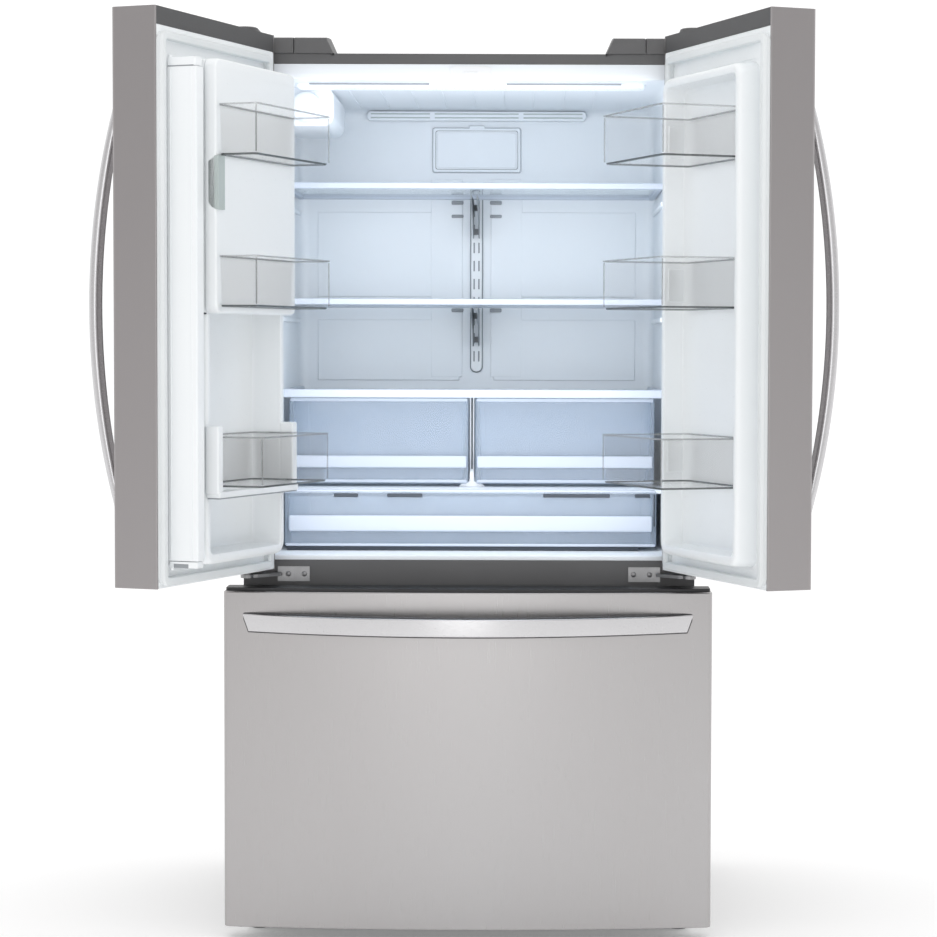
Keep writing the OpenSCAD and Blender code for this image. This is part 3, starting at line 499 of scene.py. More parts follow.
def clear_bin(shape, rim, foot, lo, hi, wall=2.4, r=9.0, lean=5.0):
    """A moulded bin: walls that lean out a little, a rolled rim, and a dark edge round its foot. The rim's grey and
    the foot's near-black are painted shade, standing in for how thick clear plastic edges look.
    """
    def loop(inset, z, rad):
        return lying(rounded(lo.x + inset, hi.x - inset, lo.y + inset * 0.3, hi.y - inset, max(rad, 1)), z)
    top = hi.z
    shape.stack([
        loop(lean + 3, lo.z, r - 3), loop(lean + 0.8, lo.z + 0.8, r - 1), loop(lean, lo.z + 3, r),
        loop(1.6, top - 9, r), loop(1.4, top - 1, r), loop(1.4 + wall, top - 1, r - wall),
        loop(1.6 + wall, top - 9, r - wall), loop(lean + wall, lo.z + 4, r - wall),
        loop(lean + wall + 2, lo.z + wall, r - wall - 1)])
    rim.stack([loop(0.6, top - 3, r), loop(0, top - 2, r), loop(0, top - 0.6, r), loop(0.8, top, r),
               loop(wall + 1.2, top, r - wall), loop(wall + 1.6, top - 1.2, r - wall),
               loop(wall + 1.6, top - 2.6, r - wall), loop(1.9, top - 3, r)], ring=True)
    foot.stack([loop(lean - 0.9, lo.z + 3.4, r), loop(lean + 0.4, lo.z + 0.4, r - 1), loop(lean + 3, lo.z, r - 3),
                loop(lean + 5, lo.z + 0.8, r - 5), loop(lean + 3, lo.z + 3.4, r - 2)], ring=True)
    for x, y in ((lo.x + 2.4, hi.y - 5.2), (hi.x - 5.2, hi.y - 5.2)):   # ribs up the two outer corners
        rim.box((x, y, lo.z + 5), (x + 2.6, y + 2.6, top - 4), 1, 2)


def bins(name, node, body, place, look=None):
    walls, rims, feet = Shape(), Shape(), Shape()
    for lo, hi in solids_of(node, place):
        clear_bin(walls, rims, feet, lo, hi)
    piece(f"{name}_walls", walls, body, look or bin_clear, place, [node])
    # rims and feet carry the painted shade of the clear edges
    piece(f"{name}_rims", rims, body, bin_rim_shade, place)
    piece(f"{name}_feet", feet, body, bin_foot_shadow, place)


def liner_panel(node, place, x0, rise):
    """The inner panel of a door: a flat rim with a groove, then the raised moulding."""
    lo, _ = box_of(node, place)
    base, floor = INNER, INNER + 0.6
    wall, z1 = 20, CAP1
    dz0, dz1 = DYKE_Z
    shape = Shape()
    edge = [facing(rounded(lo.x, plate_hi.x, Z0 + 0.5, z1, 3, 6), y) for y in (base - 2, base - 1)]
    edge.append(facing(rounded(lo.x + 1, plate_hi.x - 1, Z0 + 1.5, z1 - 1, 3, 6), base))
    # shallow step just outside the moulding
    edge.append(facing(rounded(x0 - 7, DYKE_X1 + 7, dz0 - 7, dz1 + 7, 33, 6), base))
    edge.append(facing(rounded(x0 - 6, DYKE_X1 + 6, dz0 - 6, dz1 + 6, 32, 6), base - 1))
    edge.append(facing(rounded(x0 - 1, DYKE_X1 + 1, dz0 - 1, dz1 + 1, 27, 6), base - 1))
    h = rise - base
    def loop(inset, y, rad):
        return facing(rounded(x0 + inset, DYKE_X1 - inset, dz0 + inset, dz1 - inset, rad, 6), y)
    r = 26
    edge += [loop(0, base - 1, r), loop(0.6, base + 3, r), loop(1.5, base + h * 0.6, r), loop(2, rise - 8, r),
             loop(3.2, rise - 4, r - 1), loop(5.6, rise - 1.2, r - 3), loop(9, rise, r - 6),
             loop(wall - 5, rise, 14), loop(wall - 1.5, rise - 1.2, 12), loop(wall, rise - 5, 12),
             loop(wall + 1, floor + 8, 12), loop(wall + 3, floor + 2.4, 11), loop(wall + 9, floor, 9)]
    shape.stack(edge)
    return shape


ring = points_of("right_door_liner", RIGHT)
ring = ring[ring[:, 1] > INNER + 5]
DYKE_Z = (ring[:, 2].min(), ring[:, 2].max())
DYKE_X1, RIGHT_RISE = ring[:, 0].max(), ring[:, 1].max()
RIGHT_X0 = ring[:, 0].min()
ice_lo, ice_hi = box_of("ice_door", LEFT)
left_ring = points_of("left_door_liner", LEFT)
left_ring = left_ring[(left_ring[:, 1] > INNER + 5) & (left_ring[:, 0] > 60)]
LEFT_X0 = left_ring[:, 0].min()
ICE_Z0 = ice_lo.z

door("right", RIGHT, "right_door")
slot_lo, slot_hi = box_of("dispenser_panel", LEFT)
door("left", LEFT, "left_door", (slot_lo - Vector((0.4, 0, 0.4)), slot_hi + Vector((0.4, 0.4, 0.4))))
gasket("right_gasket", "right_door_gasket", "right_door", RIGHT)
gasket("left_gasket", "left_door_gasket", "left_door", LEFT)
gasket("drawer_seal", "drawer_gasket", "freezer_drawer")
right_panel = liner_panel("right_door_liner", RIGHT, RIGHT_X0, RIGHT_RISE)
for blo, bhi in solids_of("right_door_bins", RIGHT):
    for x in (RIGHT_X0 + 18, DYKE_X1 - 24):   # lugs that the bins hang on
        right_panel.box((x, INNER, blo.z + 16), (x + 5, RIGHT_RISE - 6, bhi.z - 12), 2.2)
piece("right_liner", right_panel, "right_door", liner, RIGHT, ["right_door_liner"])

bins("right_bins", "right_door_bins", "right_door", RIGHT)
bins("ice_door_bins", "ice_door_bins", "ice_door", LEFT)
bins("left_low_bin", "left_lower_bin", "left_door", LEFT)

# ---- handles --------------------------------------------------------------------------------


def bar_thickness(node, place):
    """How thick a handle's bar is at the middle of its length."""
    co = points_of(node, place)
    middle = (co[:, 2].min() + co[:, 2].max()) / 2
    near = co[abs(co[:, 2] - middle) < 12]
    return near[:, 1].max() - near[:, 1].min()


BAR_T = bar_thickness("right_handle", RIGHT)


def bow(name, node, body, place):
    """A door handle: a bowed bar of rounded section that thins towards the door."""
    lo, hi = box_of(node, place)
    x = (lo.x + hi.x) / 2
    face = face_y(x)
    length, width = hi.z - lo.z, hi.x - lo.x
    thick = BAR_T
    rise = face - lo.y
    mid = (lo.z + hi.z) / 2
    radius = ((length / 2) ** 2 + (rise - thick / 2) ** 2) / (2 * (rise - thick / 2))
    half = math.asin(length / 2 / radius)
    loops, steps = [], 56
    for k in range(steps + 1):
        t = half * (2 * k / steps - 1)
        end = abs(2 * k / steps - 1)
        cy = lo.y + thick / 2 + radius * (1 - math.cos(t))
        cz = mid + radius * math.sin(t)
        n = Vector((0, -math.cos(t), math.sin(t)))
        th = thick * (1 - 0.18 * end ** 4)
        wd = width * (1 - 0.10 * end ** 2)
        outline = [(wd / 2 * math.cos(a), th / 2 * (math.sin(a) if math.sin(a) > 0 else math.sin(a) * 0.92))
                   for a in [2 * math.pi * (j + 0.5) / 22 for j in range(22)]]
        outline = [(math.copysign(wd / 2 * abs(u / (wd / 2)) ** 0.62, u), w) for u, w in outline]
        loops.append([Vector((x, cy, cz)) + Vector((u, 0, 0)) + n * w for u, w in outline])
    shape = Shape().stack(loops)
    for s in (-1, 1):
        z = mid + s * (length / 2 - 27)
        shape.stack([facing(rounded(x - 10 - e, x + 10 + e, z - 22 - e, z + 22 + e, 9.9 + e, 5), y)
                     for e, y in ((2, face + 0.3), (1, face - 1.5), (-1, face - 5), (-2, face - 13))])
    piece(name, shape, body, satin, place, [node])


bow("right_bow", "right_handle", "right_door", RIGHT)
bow("left_bow", "left_handle", "left_door", LEFT)


def drawer_bow():
    """A wide bowed plate with slanted ends on a dark body that shows as a line round it: a painted shadow line
    standing in for the shade round the handle.
    """
    lo, hi = box_of("drawer_handle")
    steps, span = 72, hi.x - 1
    rise = face_y(hi.x) - lo.y

    def sweep(outline, inset):
        loops = []
        for k in range(steps + 1):
            row = []
            for d, z in outline:
                x = (2 * k / steps - 1) * (span - inset - 14 * (hi.z - z) / (hi.z - lo.z))
                q = abs(x) / span
                y = lo.y + rise * q * q + d * (1 - 0.3 * q ** 6)
                row.append((x, min(y, face_y(x) + 1.0), z))
            loops.append(row)
        return Shape().stack(loops)

    edge = 2.2
    plate = sweep(rounded(0, 6, lo.z + edge, hi.z - edge, 2.4, 3), edge)
    piece("drawer_bow", plate, "freezer_drawer", satin, STILL, ["drawer_handle"])
    # dark body 2.2 mm larger than the plate all round: a painted shadow line round the handle, with the two mounts
    core = sweep(rounded(3.4, BAR_T, lo.z, hi.z, 3.0, 3), 0)
    for s in (-1, 1):
        x = s * (span - 34)
        core.box((x - 12, face_y(x) - 3, lo.z + 8), (x + 12, face_y(x) + 0.5, hi.z - 8), 1.4, 3)
    piece("drawer_bow_shadow_body", core, "freezer_drawer", trim)


drawer_bow()

# ---- freezer drawer -------------------------------------------------------------------------


def drawer_front():
    z0, z1 = drawer_lo.z, drawer_hi.z
    t = STEEL_T
    outer, inner = [], []
    for inset, out in ((0, outer), (t, inner)):
        a, b = -HALF + inset, HALF - inset
        f = SIDE + inset
        out.append((a, INNER))
        out += corner((a, INNER), (a, f), (a + 30, face_y(a + 30) + inset), 8 - inset)
        for k in range(1, 40):
            x = a + 16 + (b - a - 32) * k / 40
            out.append((x, face_y(x) + inset))
        out += corner((b - 30, face_y(b - 30) + inset), (b, f), (b, INNER), 8 - inset)
        out.append((b, INNER))
    loops = []
    # rounded over at the top and the bottom edge
    for z, pull in ((z0, 2.4), (z0 + 0.8, 0.8), (z0 + 2.6, 0), (z1 - 3.4, 0), (z1 - 1.8, 0.3), (z1 - 0.5, 1.0),
                    (z1, 2.2)):
        row = []
        for x, y in outer:
            row.append((x * (1 - pull / HALF), min(y + pull, INNER), z))
        for x, y in inner[::-1]:
            row.append((x * (1 - pull / HALF), min(y + pull, INNER), z))
        loops.append(row)
    shape = Shape().stack(loops)
    piece("drawer_face", shape, "freezer_drawer", steel, STILL, ["drawer_skin"])
    # dark cap on top, with the rounded inner edge
    _, cap_hi = box_of("drawer_cap")
    outline = [(x * 0.994, min(y + 3, INNER)) for x, y in outer]
    shape = Shape().prism(outline, z1 - 9, z1 - 0.4, r=0.5)
    shape.prism([(x * 0.992, min(y + 6, INNER)) for x, y in outer], z1 - 2, cap_hi.z, r=0.8)
    piece("drawer_cap_strip", shape, "freezer_drawer", black, STILL, ["drawer_cap"])
    # inner panel with a raised frame
    lo, hi = box_of("drawer_core")
    shape = Shape()
    shape.stack([panel_loop(lo, hi, e, y, 4) for e, y in
                 ((2, INNER - 9), (0.3, INNER - 7), (0.3, INNER - 1.2), (1.5, INNER))])
    piece("drawer_panel", shape, "freezer_drawer", liner)
    filling = [(x * 0.9995, min(y + 0.3, INNER - 2)) for x, y in inner]
    shape = Shape().prism(filling, lo.z + 0.2, lo.z + 3.0)
    piece("drawer_foot", shape, "freezer_drawer", trim)
    shape = Shape().prism(filling, lo.z + 3.2, hi.z - 0.5)
    piece("drawer_filling", shape, "freezer_drawer", foam, STILL, ["drawer_core"])


drawer_front()


def basket():
    """Wire basket on its carrier arms."""
    boxes = solids_of("freezer_basket")
    big = max(boxes, key=lambda b: (b[1].x - b[0].x) * (b[1].z - b[0].z))
    bx0, bx1 = big[0], big[1]
    co = points_of("freezer_basket")
    inner_y = co[co[:, 2] > bx1.z - 1][:, 1]
    y0, y1 = inner_y.min() + 3, inner_y.max() - 3
    x0, x1, z0, z1 = bx0.x + 3, bx1.x - 3, bx0.z + 3, bx1.z - 3
    shape = Shape()
    def rect(z, r, inset=0.0):
        path = lying(rounded(x0 + inset, x1 - inset, y0 + inset, y1 - inset, 24, 4), z)
        shape.tube(path + [path[0]], r, 8)
    rect(z1, 3.0)
    rect(z0, 2.2, 6)
    rect((z0 + z1) / 2, 1.8, 3)
    n = 27
    for k in range(n + 1):
        x = x0 + 26 + (x1 - x0 - 52) * k / n
        shape.tube([(x, y0, z1), (x, y0 + 6, z0), (x, y1 - 6, z0), (x, y1, z1)], 1.5, 6)
    for k in range(12):
        y = y0 + 26 + (y1 - y0 - 52) * k / 11
        shape.tube([(x0, y, z1), (x0 + 6, y, z0), (x1 - 6, y, z0), (x1, y, z1)], 1.5, 6)
    for s in (-1, 1):
        x = s * (abs(x1) - 32)
        zc = box_of("slide_runners")[0].z + 12
        shape.box((x - 5, INNER, zc - 14), (x + 5, y0 + 2, zc + 16), 2)
    piece("wire_basket", shape, "freezer_drawer", wire_white, STILL, ["freezer_basket"])
    walls, rims, feet = Shape(), Shape(), Shape()
    for a, b in solids_of("freezer_tray"):
        clear_bin(walls, rims, feet, a, b, 3, 16, 6)
    piece("tray_walls", walls, "freezer_tray", bin_clear, STILL, ["freezer_tray"])
    # the tray's rim and foot carry the same painted shade
    piece("tray_rim", rims, "freezer_tray", bin_rim_shade)
    piece("tray_foot", feet, "freezer_tray", bin_foot_shadow)
    dress(zinc, "slide_runners", "drawer_slides")


basket()

# ---- left door: flap, ice compartment, dispenser ---------------------------------------------


def left_panel():
    shape = liner_panel("left_door_liner", LEFT, LEFT_X0, INNER + 59)
    # the moulding is lower behind the ice door, so the shape is built in two heights
    for v in shape.bm.verts:
        if v.co.z > ICE_Z0 - 12 and v.co.y > ice_lo.y - 2.5 and v.co.x > LEFT_X0 - 2:
            v.co.y = ice_lo.y - 2.5
    return shape


def ice_box():
    lo, hi = ice_lo, ice_hi
    # housing round the bucket, and the white shoulder that closes it towards the free edge
    dress(white, "ice_housing")
    shape = Shape()
    shape.box((LEFT_X0 - 2.8, INNER + 0.5, lo.z + 1), (LEFT_X0 + 16, lo.y - 0.8, hi.z - 1), 3, 3)
    piece("ice_shoulder", shape, "left_door", liner, LEFT)
    # a near-black strip along the foot of the shoulder: painted shade under it
    shape = Shape().box((LEFT_X0 - 2.4, INNER + 6, lo.z - 1.6), (LEFT_X0 + 15, lo.y - 3, lo.z + 1.6), 0.6, 1)
    piece("ice_shoulder_shade_line", shape, "left_door", slot_and_shade_dark, LEFT)
    # insulated door with rounded outer corners
    shape = Shape()
    x0, x1 = lo.x, hi.x - 9
    def loop(inset, y, r):
        return facing(rounded(x0 + inset, x1 - inset, lo.z + inset, hi.z - inset, r, 7), y)
    shape.stack([loop(1, lo.y, 12), loop(0, lo.y + 1, 13), loop(0, hi.y - 4, 16), loop(1.2, hi.y - 1.3, 15),
                 loop(3.5, hi.y, 13), loop(20, hi.y, 8), loop(21.5, hi.y - 0.8, 7)])
    pin = joint("ice_door_hinge")["pos_m"]
    at = LEFT.inverted() @ Vector(pin) / MM
    shape.lathe([(5, lo.z + 4), (7.6, lo.z + 5), (7.6, hi.z - 5), (5, hi.z - 4)], (at.x, at.y, 0), sides=24)
    shape.box((x1 - 6, at.y - 4, lo.z + 10), (at.x, at.y + 4, hi.z - 10), 1.5)
    piece("ice_lid", shape, "ice_door", liner, LEFT, ["ice_door"])
    # latch
    llo, lhi = box_of("ice_latch", LEFT)
    shape = Shape()
    z0, z1 = llo.z + 4, lhi.z - 4
    y0, y1 = lhi.y - 21, lhi.y
    outline = [(y0, z0 + 14), (y0 + 2, z0 + 9), (y0 + 7, z0 + 3), (y0 + 13, z0), (y1, z0), (y1, z1),
               (y0 + 13, z1), (y0 + 1, z1 - 9), (y0, z1 - 11)]
    shape.prism(outline, LEFT_X0 - 4, lhi.x - 4, axis=0, r=1.6)
    piece("ice_grip", shape, "ice_latch", latch_grey, LEFT, ["ice_latch"], smooth=30)
    # bucket and mould stay as the CAD has them
    dress(bin_clear, "ice_bucket")


def flap():
    lo, hi = box_of("mullion_flap", LEFT)
    shape = Shape()
    y0, y1 = lo.y, hi.y
    z0, z1 = lo.z + 4, hi.z - 4
    outline = rounded(lo.x + 0.2, hi.x - 0.2, y0, y1, 3, 4)
    shape.prism(outline, z0 + 12, z1 - 16, r=1.0)
    shape.prism(rounded(lo.x + 1, hi.x - 1, y0 + 2, y1 - 2, 3, 4), z0, z0 + 11, r=1.0)
    shape.prism(rounded(lo.x + 1, hi.x - 1, y0 + 2, y1 - 2, 3, 4), z1 - 15, z1, r=1.0)
    face = lo.x
    for a, b in ((y0 + 7, y0 + 9), (y1 - 12, y1 - 10)):    # narrow ribs down the face
        shape.box((face - 0.6, a, z0 + 16), (face + 1, b, z1 - 20), 0.5, 1)
    pin = LEFT.inverted() @ Vector(joint("flap_hinge")["pos_m"]) / MM
    for z in (z0 - 3.8, z1 - 0.2):
        shape.lathe([(3.4, z), (3.4, z + 4)], (pin.x, pin.y, 0), sides=20)
    piece("flap_body", shape, "flap", liner, LEFT, ["mullion_flap"])
    shape = Shape()
    shape.box((face + 0.5, y0 + 4, z1 - 16), (hi.x - 2, y1 - 6, z1 - 14), 0.4, 1)
    shape.box((face + 0.2, y0 + 12, z0 - 0.0), (face + 1.4, y0 + 40, z0 + 7), 0.5, 1)
    piece("flap_slots", shape, "flap", label_grey, LEFT)


panel = left_panel()
piece("left_liner", panel, "left_door", liner, LEFT, ["left_door_liner"])
ice_box()
flap()
low_lo, low_hi = box_of("left_lower_bin", LEFT)


def bin_carrier():
    """White carrier round the lower left bin: a cheek at each end and a tray edge below."""
    shape = Shape()
    z0, z1 = low_lo.z - 12, low_hi.z + 18
    y1 = ice_hi.y
    for x, w in ((LEFT_X0 + 0.5, 19), (DYKE_X1 - 19.5, 19)):
        shape.box((x, INNER + 57, z0), (x + w, y1, z1), 3, 3)
    shape.box((LEFT_X0 + 2, INNER + 58, z0 - 6), (DYKE_X1 - 2, y1 + 3, z0 + 5), 2.4, 2)
    piece("bin_carrier", shape, "left_door", liner, LEFT)
    shape = Shape()
    shape.box((LEFT_X0 + 4, INNER + 60, z0 - 8), (DYKE_X1 - 4, y1 + 1, z0 - 5.4), 0.6, 1)
    piece("carrier_line", shape, "left_door", label_grey, LEFT)


bin_carrier()


def dispenser():
    lo, hi = box_of("dispenser_panel", LEFT)
    shape = Shape()
    def loop(inset, y, r):
        corners = rounded(lo.x + inset, hi.x - inset, lo.z + inset, hi.z - inset, r, 5)
        ring = []
        for k, (x, z) in enumerate(corners):       # the long edges follow the curve of the front
            x_next, z_next = corners[(k + 1) % len(corners)]
            steps = 12 if abs(x_next - x) > 20 else 1
            ring += [(x + (x_next - x) * t / steps, z + (z_next - z) * t / steps) for t in range(steps)]
        return [(x, y + face_y(x) - face_y((lo.x + hi.x) / 2), z) for x, z in ring]
    face = face_y((lo.x + hi.x) / 2)
    shape.stack([loop(0, face + 4, 8), loop(0, face - 0.2, 8), loop(0.8, face - 1.0, 7), loop(5, face - 1.0, 5),
                 loop(6, face + 0.6, 4)], close_last=False, close_first=False)
    piece("dispenser_bezel", shape, "left_door", satin, LEFT)
    shape = Shape()
    shape.box((lo.x + 7, face + 0.2, hi.z - 96), (hi.x - 7, face + 3, hi.z - 8), 1)
    piece("dispenser_display", shape, "left_door", gloss_black, LEFT)
    dress(black, "dispenser_panel")
    plo, phi = box_of("dispenser_paddle", LEFT)
    shape = Shape()
    xm = (plo.x + phi.x) / 2
    shape.prism(rounded(xm - 22, xm + 22, plo.z, phi.z - 2, 12, 6), plo.y + 1, phi.y - 2, axis=1, r=0.8)
    shape.tube([(plo.x, phi.y - 3, phi.z - 3), (phi.x, phi.y - 3, phi.z - 3)], 2.9, 16)
    piece("dispenser_lever", shape, "paddle", label_grey, LEFT, ["dispenser_paddle"])


dispenser()

# ---- cabinet --------------------------------------------------------------------------------


fresh_lo, fresh_hi = box_of("fridge_liner")
_, shell_hi = box_of("case_shell")
lamp_lo, lamp_hi = box_of("ceiling_lamp")
up_lo, up_hi = box_of("upper_shelf")
mid_lo, mid_hi = box_of("middle_shelf")
cover_lo, cover_hi = box_of("crisper_cover")
INNER_X = up_hi.x + 3                 # inner wall of the compartment
CEILING = lamp_hi.z + 0.2
FLOOR = fresh_lo.z + 10
BACK = fresh_hi.y - 2


def fresh_liner():
    shape = Shape()
    def loop(inset, y, r):
        return facing(rounded(-INNER_X + inset, INNER_X - inset, FLOOR + inset, CEILING - inset, r, 6), y)
    shape.stack([
        facing(rounded(fresh_lo.x + 0.5, fresh_hi.x - 0.5, fresh_lo.z + 0.5, fresh_hi.z - 0.5, 4, 6), 1.9),
        facing(rounded(fresh_lo.x + 0.5, fresh_hi.x - 0.5, fresh_lo.z + 0.5, fresh_hi.z - 0.5, 4, 6), 0.4),
        facing(rounded(fresh_lo.x + 1.5, fresh_hi.x - 1.5, fresh_lo.z + 1.5, fresh_hi.z - 1.5, 4, 6), 0.0),
        loop(-3, 0.0, 14), loop(-1.2, 0.8, 13), loop(0, 3.5, 12), loop(0, BACK - 30, 22), loop(1.5, BACK - 14, 24),
        loop(6, BACK - 5, 24), loop(14, BACK - 1, 26), loop(24, BACK, 26)], close_first=False)
    # a raised field on the back wall, and ribs under the shelf edges
    for z0, z1 in ((cover_hi.z + 12, mid_lo.z - 2), (mid_hi.z + 12, up_lo.z - 2)):
        shape.pair((36, BACK - 2.4, z0), (INNER_X - 40, BACK + 1, z1), 2.2, 3)
    for z in (up_lo.z, mid_lo.z):
        shape.pair((INNER_X - 7, up_lo.y + 8, z - 11), (INNER_X + 1, BACK - 20, z - 1), 3, 3)
    fixed("fresh_cavity", shape, inside, ["fridge_liner"])
    # guide for the mullion flap at the top of the mouth
    shape = Shape()
    shape.prism([(-38, CEILING + 22), (-34, CEILING - 1), (38, CEILING - 1), (42, CEILING + 22), (30, CEILING + 26),
                 (-26, CEILING + 26)], -2.5, 14, axis=1, r=1.5)
    shape.box((-12, -3.6, CEILING + 3), (16, 0, CEILING + 16), 2, 2)
    fixed("flap_guide", shape, white)


fresh_liner()


SHELF_NOSE = ((0, -9), (1.2, -11.4), (4, -12), (17, -12), (17, -7.5), (13, -7), (13, -4), (16, -2.5), (14, 0),
              (3.5, 0), (1, -0.8), (0, -3.2))
ROOF_NOSE = ((0, -13), (1.5, -15.6), (5, -16), (18, -16), (18, -12), (14, -12), (14, -4), (17, -3), (15, 0), (4, 0),
             (1, -1), (0, -4))


def shelves():
    for tag, node in (("upper", "upper_shelf"), ("middle", "middle_shelf")):
        lo, hi = box_of(node)
        z = hi.z
        depth = lo.y
        bottom = z - 12
        x = hi.x
        shape = Shape()
        # front trim with a rounded nose, side rails and rear rail
        shape.prism([(depth + y, z + up) for y, up in SHELF_NOSE], -x, x, axis=0)
        shape.pair((x - 11, depth + 14, bottom), (x, hi.y - 2, z), 1.6, 2)
        shape.box((-x, hi.y - 14, bottom), (x, hi.y, z), 1.6, 2)
        fixed(f"{tag}_shelf_frame", shape, band_white, [node])
        shape = Shape().box((-x + 8, depth + 8, z - 7), (x - 8, hi.y - 8, z - 3), 0.6, 1)
        fixed(f"{tag}_shelf_pane", shape, glass)
        # cantilever bracket that hooks into the rail
        shape = Shape()
        tip, root = depth + 150, BACK - 20
        for x0 in (-7, 5):
            shape.prism([(tip, z - 14), (root, z - 14), (root, z - 92), (root - 26, z - 92), (root - 60, z - 58),
                         (tip + 40, z - 26), (tip, z - 22)], x0, x0 + 2, axis=0)
        for zz in (z - 34, z - 84):
            shape.box((-6, root - 6, zz), (6, root + 6, zz + 12), 1, 1)
        fixed(f"{tag}_shelf_bracket", shape, label_grey)
        # clips beside the bracket
        shape = Shape()
        for s in (-1, 1):
            shape.box((s * 28, BACK - 7, z - 20), (s * 53, BACK + 0.5, z - 12), 2, 2)
            if tag == "upper":
                shape.box((s * 28, BACK - 5, z - 48), (s * 53, BACK + 0.5, z - 41), 2, 2)
        fixed(f"{tag}_shelf_clips", shape, label_grey)


shelves()


def rail_and_ducts():
    lo, hi = box_of("shelf_rail")
    hi.z = up_hi.z + 10
    shape = Shape()
    y = BACK
    def loop(inset, d, r):
        return panel_loop(lo, hi, inset, d, r)
    shape.stack([loop(-1, y + 0.5, 12), loop(0, y - 4, 12), loop(1.2, y - 6, 11), loop(3.4, y - 6.4, 9)])
    fixed("rail", shape, white, ["shelf_rail"])
    shape = Shape()
    ring_out, ring_in = loop(-1.6, y - 1.2, 12.6), loop(0.4, y - 1.2, 11)
    ring_out2, ring_in2 = loop(-1.6, y - 4.6, 12.6), loop(0.4, y - 5.6, 11)
    shape.stack([ring_out, ring_out2, ring_in2, ring_in], ring=True)
    z = lo.z + 22
    while z < hi.z - 30:
        shape.pair((3.4, y - 7.2, z), (6.6, y - 5.8, z + 22), 0.6, 1)
        z += 38
    fixed("rail_slots", shape, label_grey)
    # framed duct panel under the ceiling
    shape = Shape()
    w, z0, z1 = 91, CEILING - 128, CEILING - 38
    def frame_loop(inset, d, r=5):
        return facing(rounded(-w + inset, w - inset, z0 + inset, z1 - inset, r, 5), d)
    shape.stack([frame_loop(-2, y + 0.3), frame_loop(-1.4, y - 6), frame_loop(0, y - 8), frame_loop(4, y - 8),
                 frame_loop(5, y - 6.4), frame_loop(8, y - 6.2), frame_loop(8.8, y - 7), frame_loop(10, y - 7)])
    shape.box((-17, y - 8, z1 - 1), (17, y, z1 + 7), 3, 3)
    shape.pair((30, y - 3, CEILING - 560), (96, y + 0.5, z0 - 16), 1.6, 2)
    fixed("duct_panel", shape, inside, ["air_duct_panel"])
    shape = Shape()
    shape.stack([frame_loop(4.2, y - 7.7), frame_loop(4.2, y - 8.4), frame_loop(5.2, y - 8.4),
                 frame_loop(5.2, y - 7.7)], ring=True)
    shape.stack([frame_loop(-2.4, y - 0.3), frame_loop(-2.4, y - 2), frame_loop(-1.2, y - 2),
                 frame_loop(-1.2, y - 0.3)], ring=True)
    fixed("duct_lines", shape, label_grey)
    # outlet along the top of the back wall
    shape = Shape()
    shape.prism(rounded(-230, 230, CEILING - 23, CEILING - 3, 8, 5), y - 22, y - 2, axis=1, r=3)
    fixed("air_outlet", shape, inside)
    shape = Shape()
    for a, b in ((-222, -98), (-88, 88), (98, 222)):
        for k in range(2):
            shape.box((a, y - 23.2, CEILING - 18 + k * 8), (b, y - 21.5, CEILING - 15.5 + k * 8), 0.6, 1)
    fixed("outlet_slots", shape, latch_grey)


rail_and_ducts()


def lamp_and_filter():
    shape = Shape()
    lo, hi = lamp_lo, lamp_hi
    shape.stack([lying(rounded(lo.x + e, hi.x - e, lo.y + e, hi.y - e, 10 - e * 0.3, 5), z) for e, z in
                 ((0, hi.z), (0, lo.z + 5), (1.5, lo.z + 2), (5, lo.z + 0.6))])
    fixed("ceiling_lens", shape, lens, ["ceiling_lamp"])
    # grey strips each side of the lamp: painted shade in the gap behind the front band of the ceiling
    shape = Shape()
    for a, b in ((-305, -78), (68, 285)):
        shape.box((a, lo.y - 7, CEILING - 3.4), (b, lo.y - 3.5, CEILING + 0.5), 0.8, 1)
    fixed("lamp_gap_shade", shape, label_grey)
    # ribs that run back along the ceiling
    shape = Shape()
    for k in range(9):
        x = -240 + k * 60
        shape.box((x - 1.5, hi.y + 12, CEILING - 2.2), (x + 1.5, BACK - 70, CEILING + 0.5), 1, 2)
    fixed("ceiling_ribs", shape, inside)
    flo, fhi = box_of("water_filter")
    shape = Shape()
    x0, x1 = flo.x, fhi.x
    y0 = flo.y + 14
    shape.stack([facing(rounded(x0 + e, x1 - e, flo.z + e, fhi.z + 2, 20, 6), y) for e, y in
                 ((5, y0), (1, y0 + 2), (0, y0 + 6), (0, fhi.y - 8), (6, fhi.y))])
    xc, zc = (x0 + x1) / 2, (flo.z + fhi.z) / 2
    shape.lathe([(4, flo.y), (24, flo.y + 0.5), (28, flo.y + 3), (30, flo.y + 14), (30, y0 + 2)], (xc, 0, zc),
                axis=1)
    fixed("filter_housing", shape, inside, ["water_filter"])


lamp_and_filter()


def drawer_tub(name, body, lo, hi, y0, levels, node):
    """A clear tub; each level is an inset, a height and a corner radius."""
    tub = Shape().stack([lying(rounded(lo.x + 2 + e, hi.x - 2 - e, y0 + 14 + e * 0.4, hi.y - e, r), z)
                         for e, z, r in levels])
    piece(name, tub, body, drawer_clear, STILL, [node])


def clear_front(name, body, lo, hi, y0, back):
    """The rounded front plate of a clear drawer."""
    steps = ((0.6, y0 + back[0]), (0, y0 + back[1]), (0, y0 + 3), (1.5, y0 + 0.8), (4, y0))
    shape = Shape().stack([panel_loop(lo, hi, e, y, 6, 4) for e, y in steps])
    piece(name, shape, body, drawer_clear)


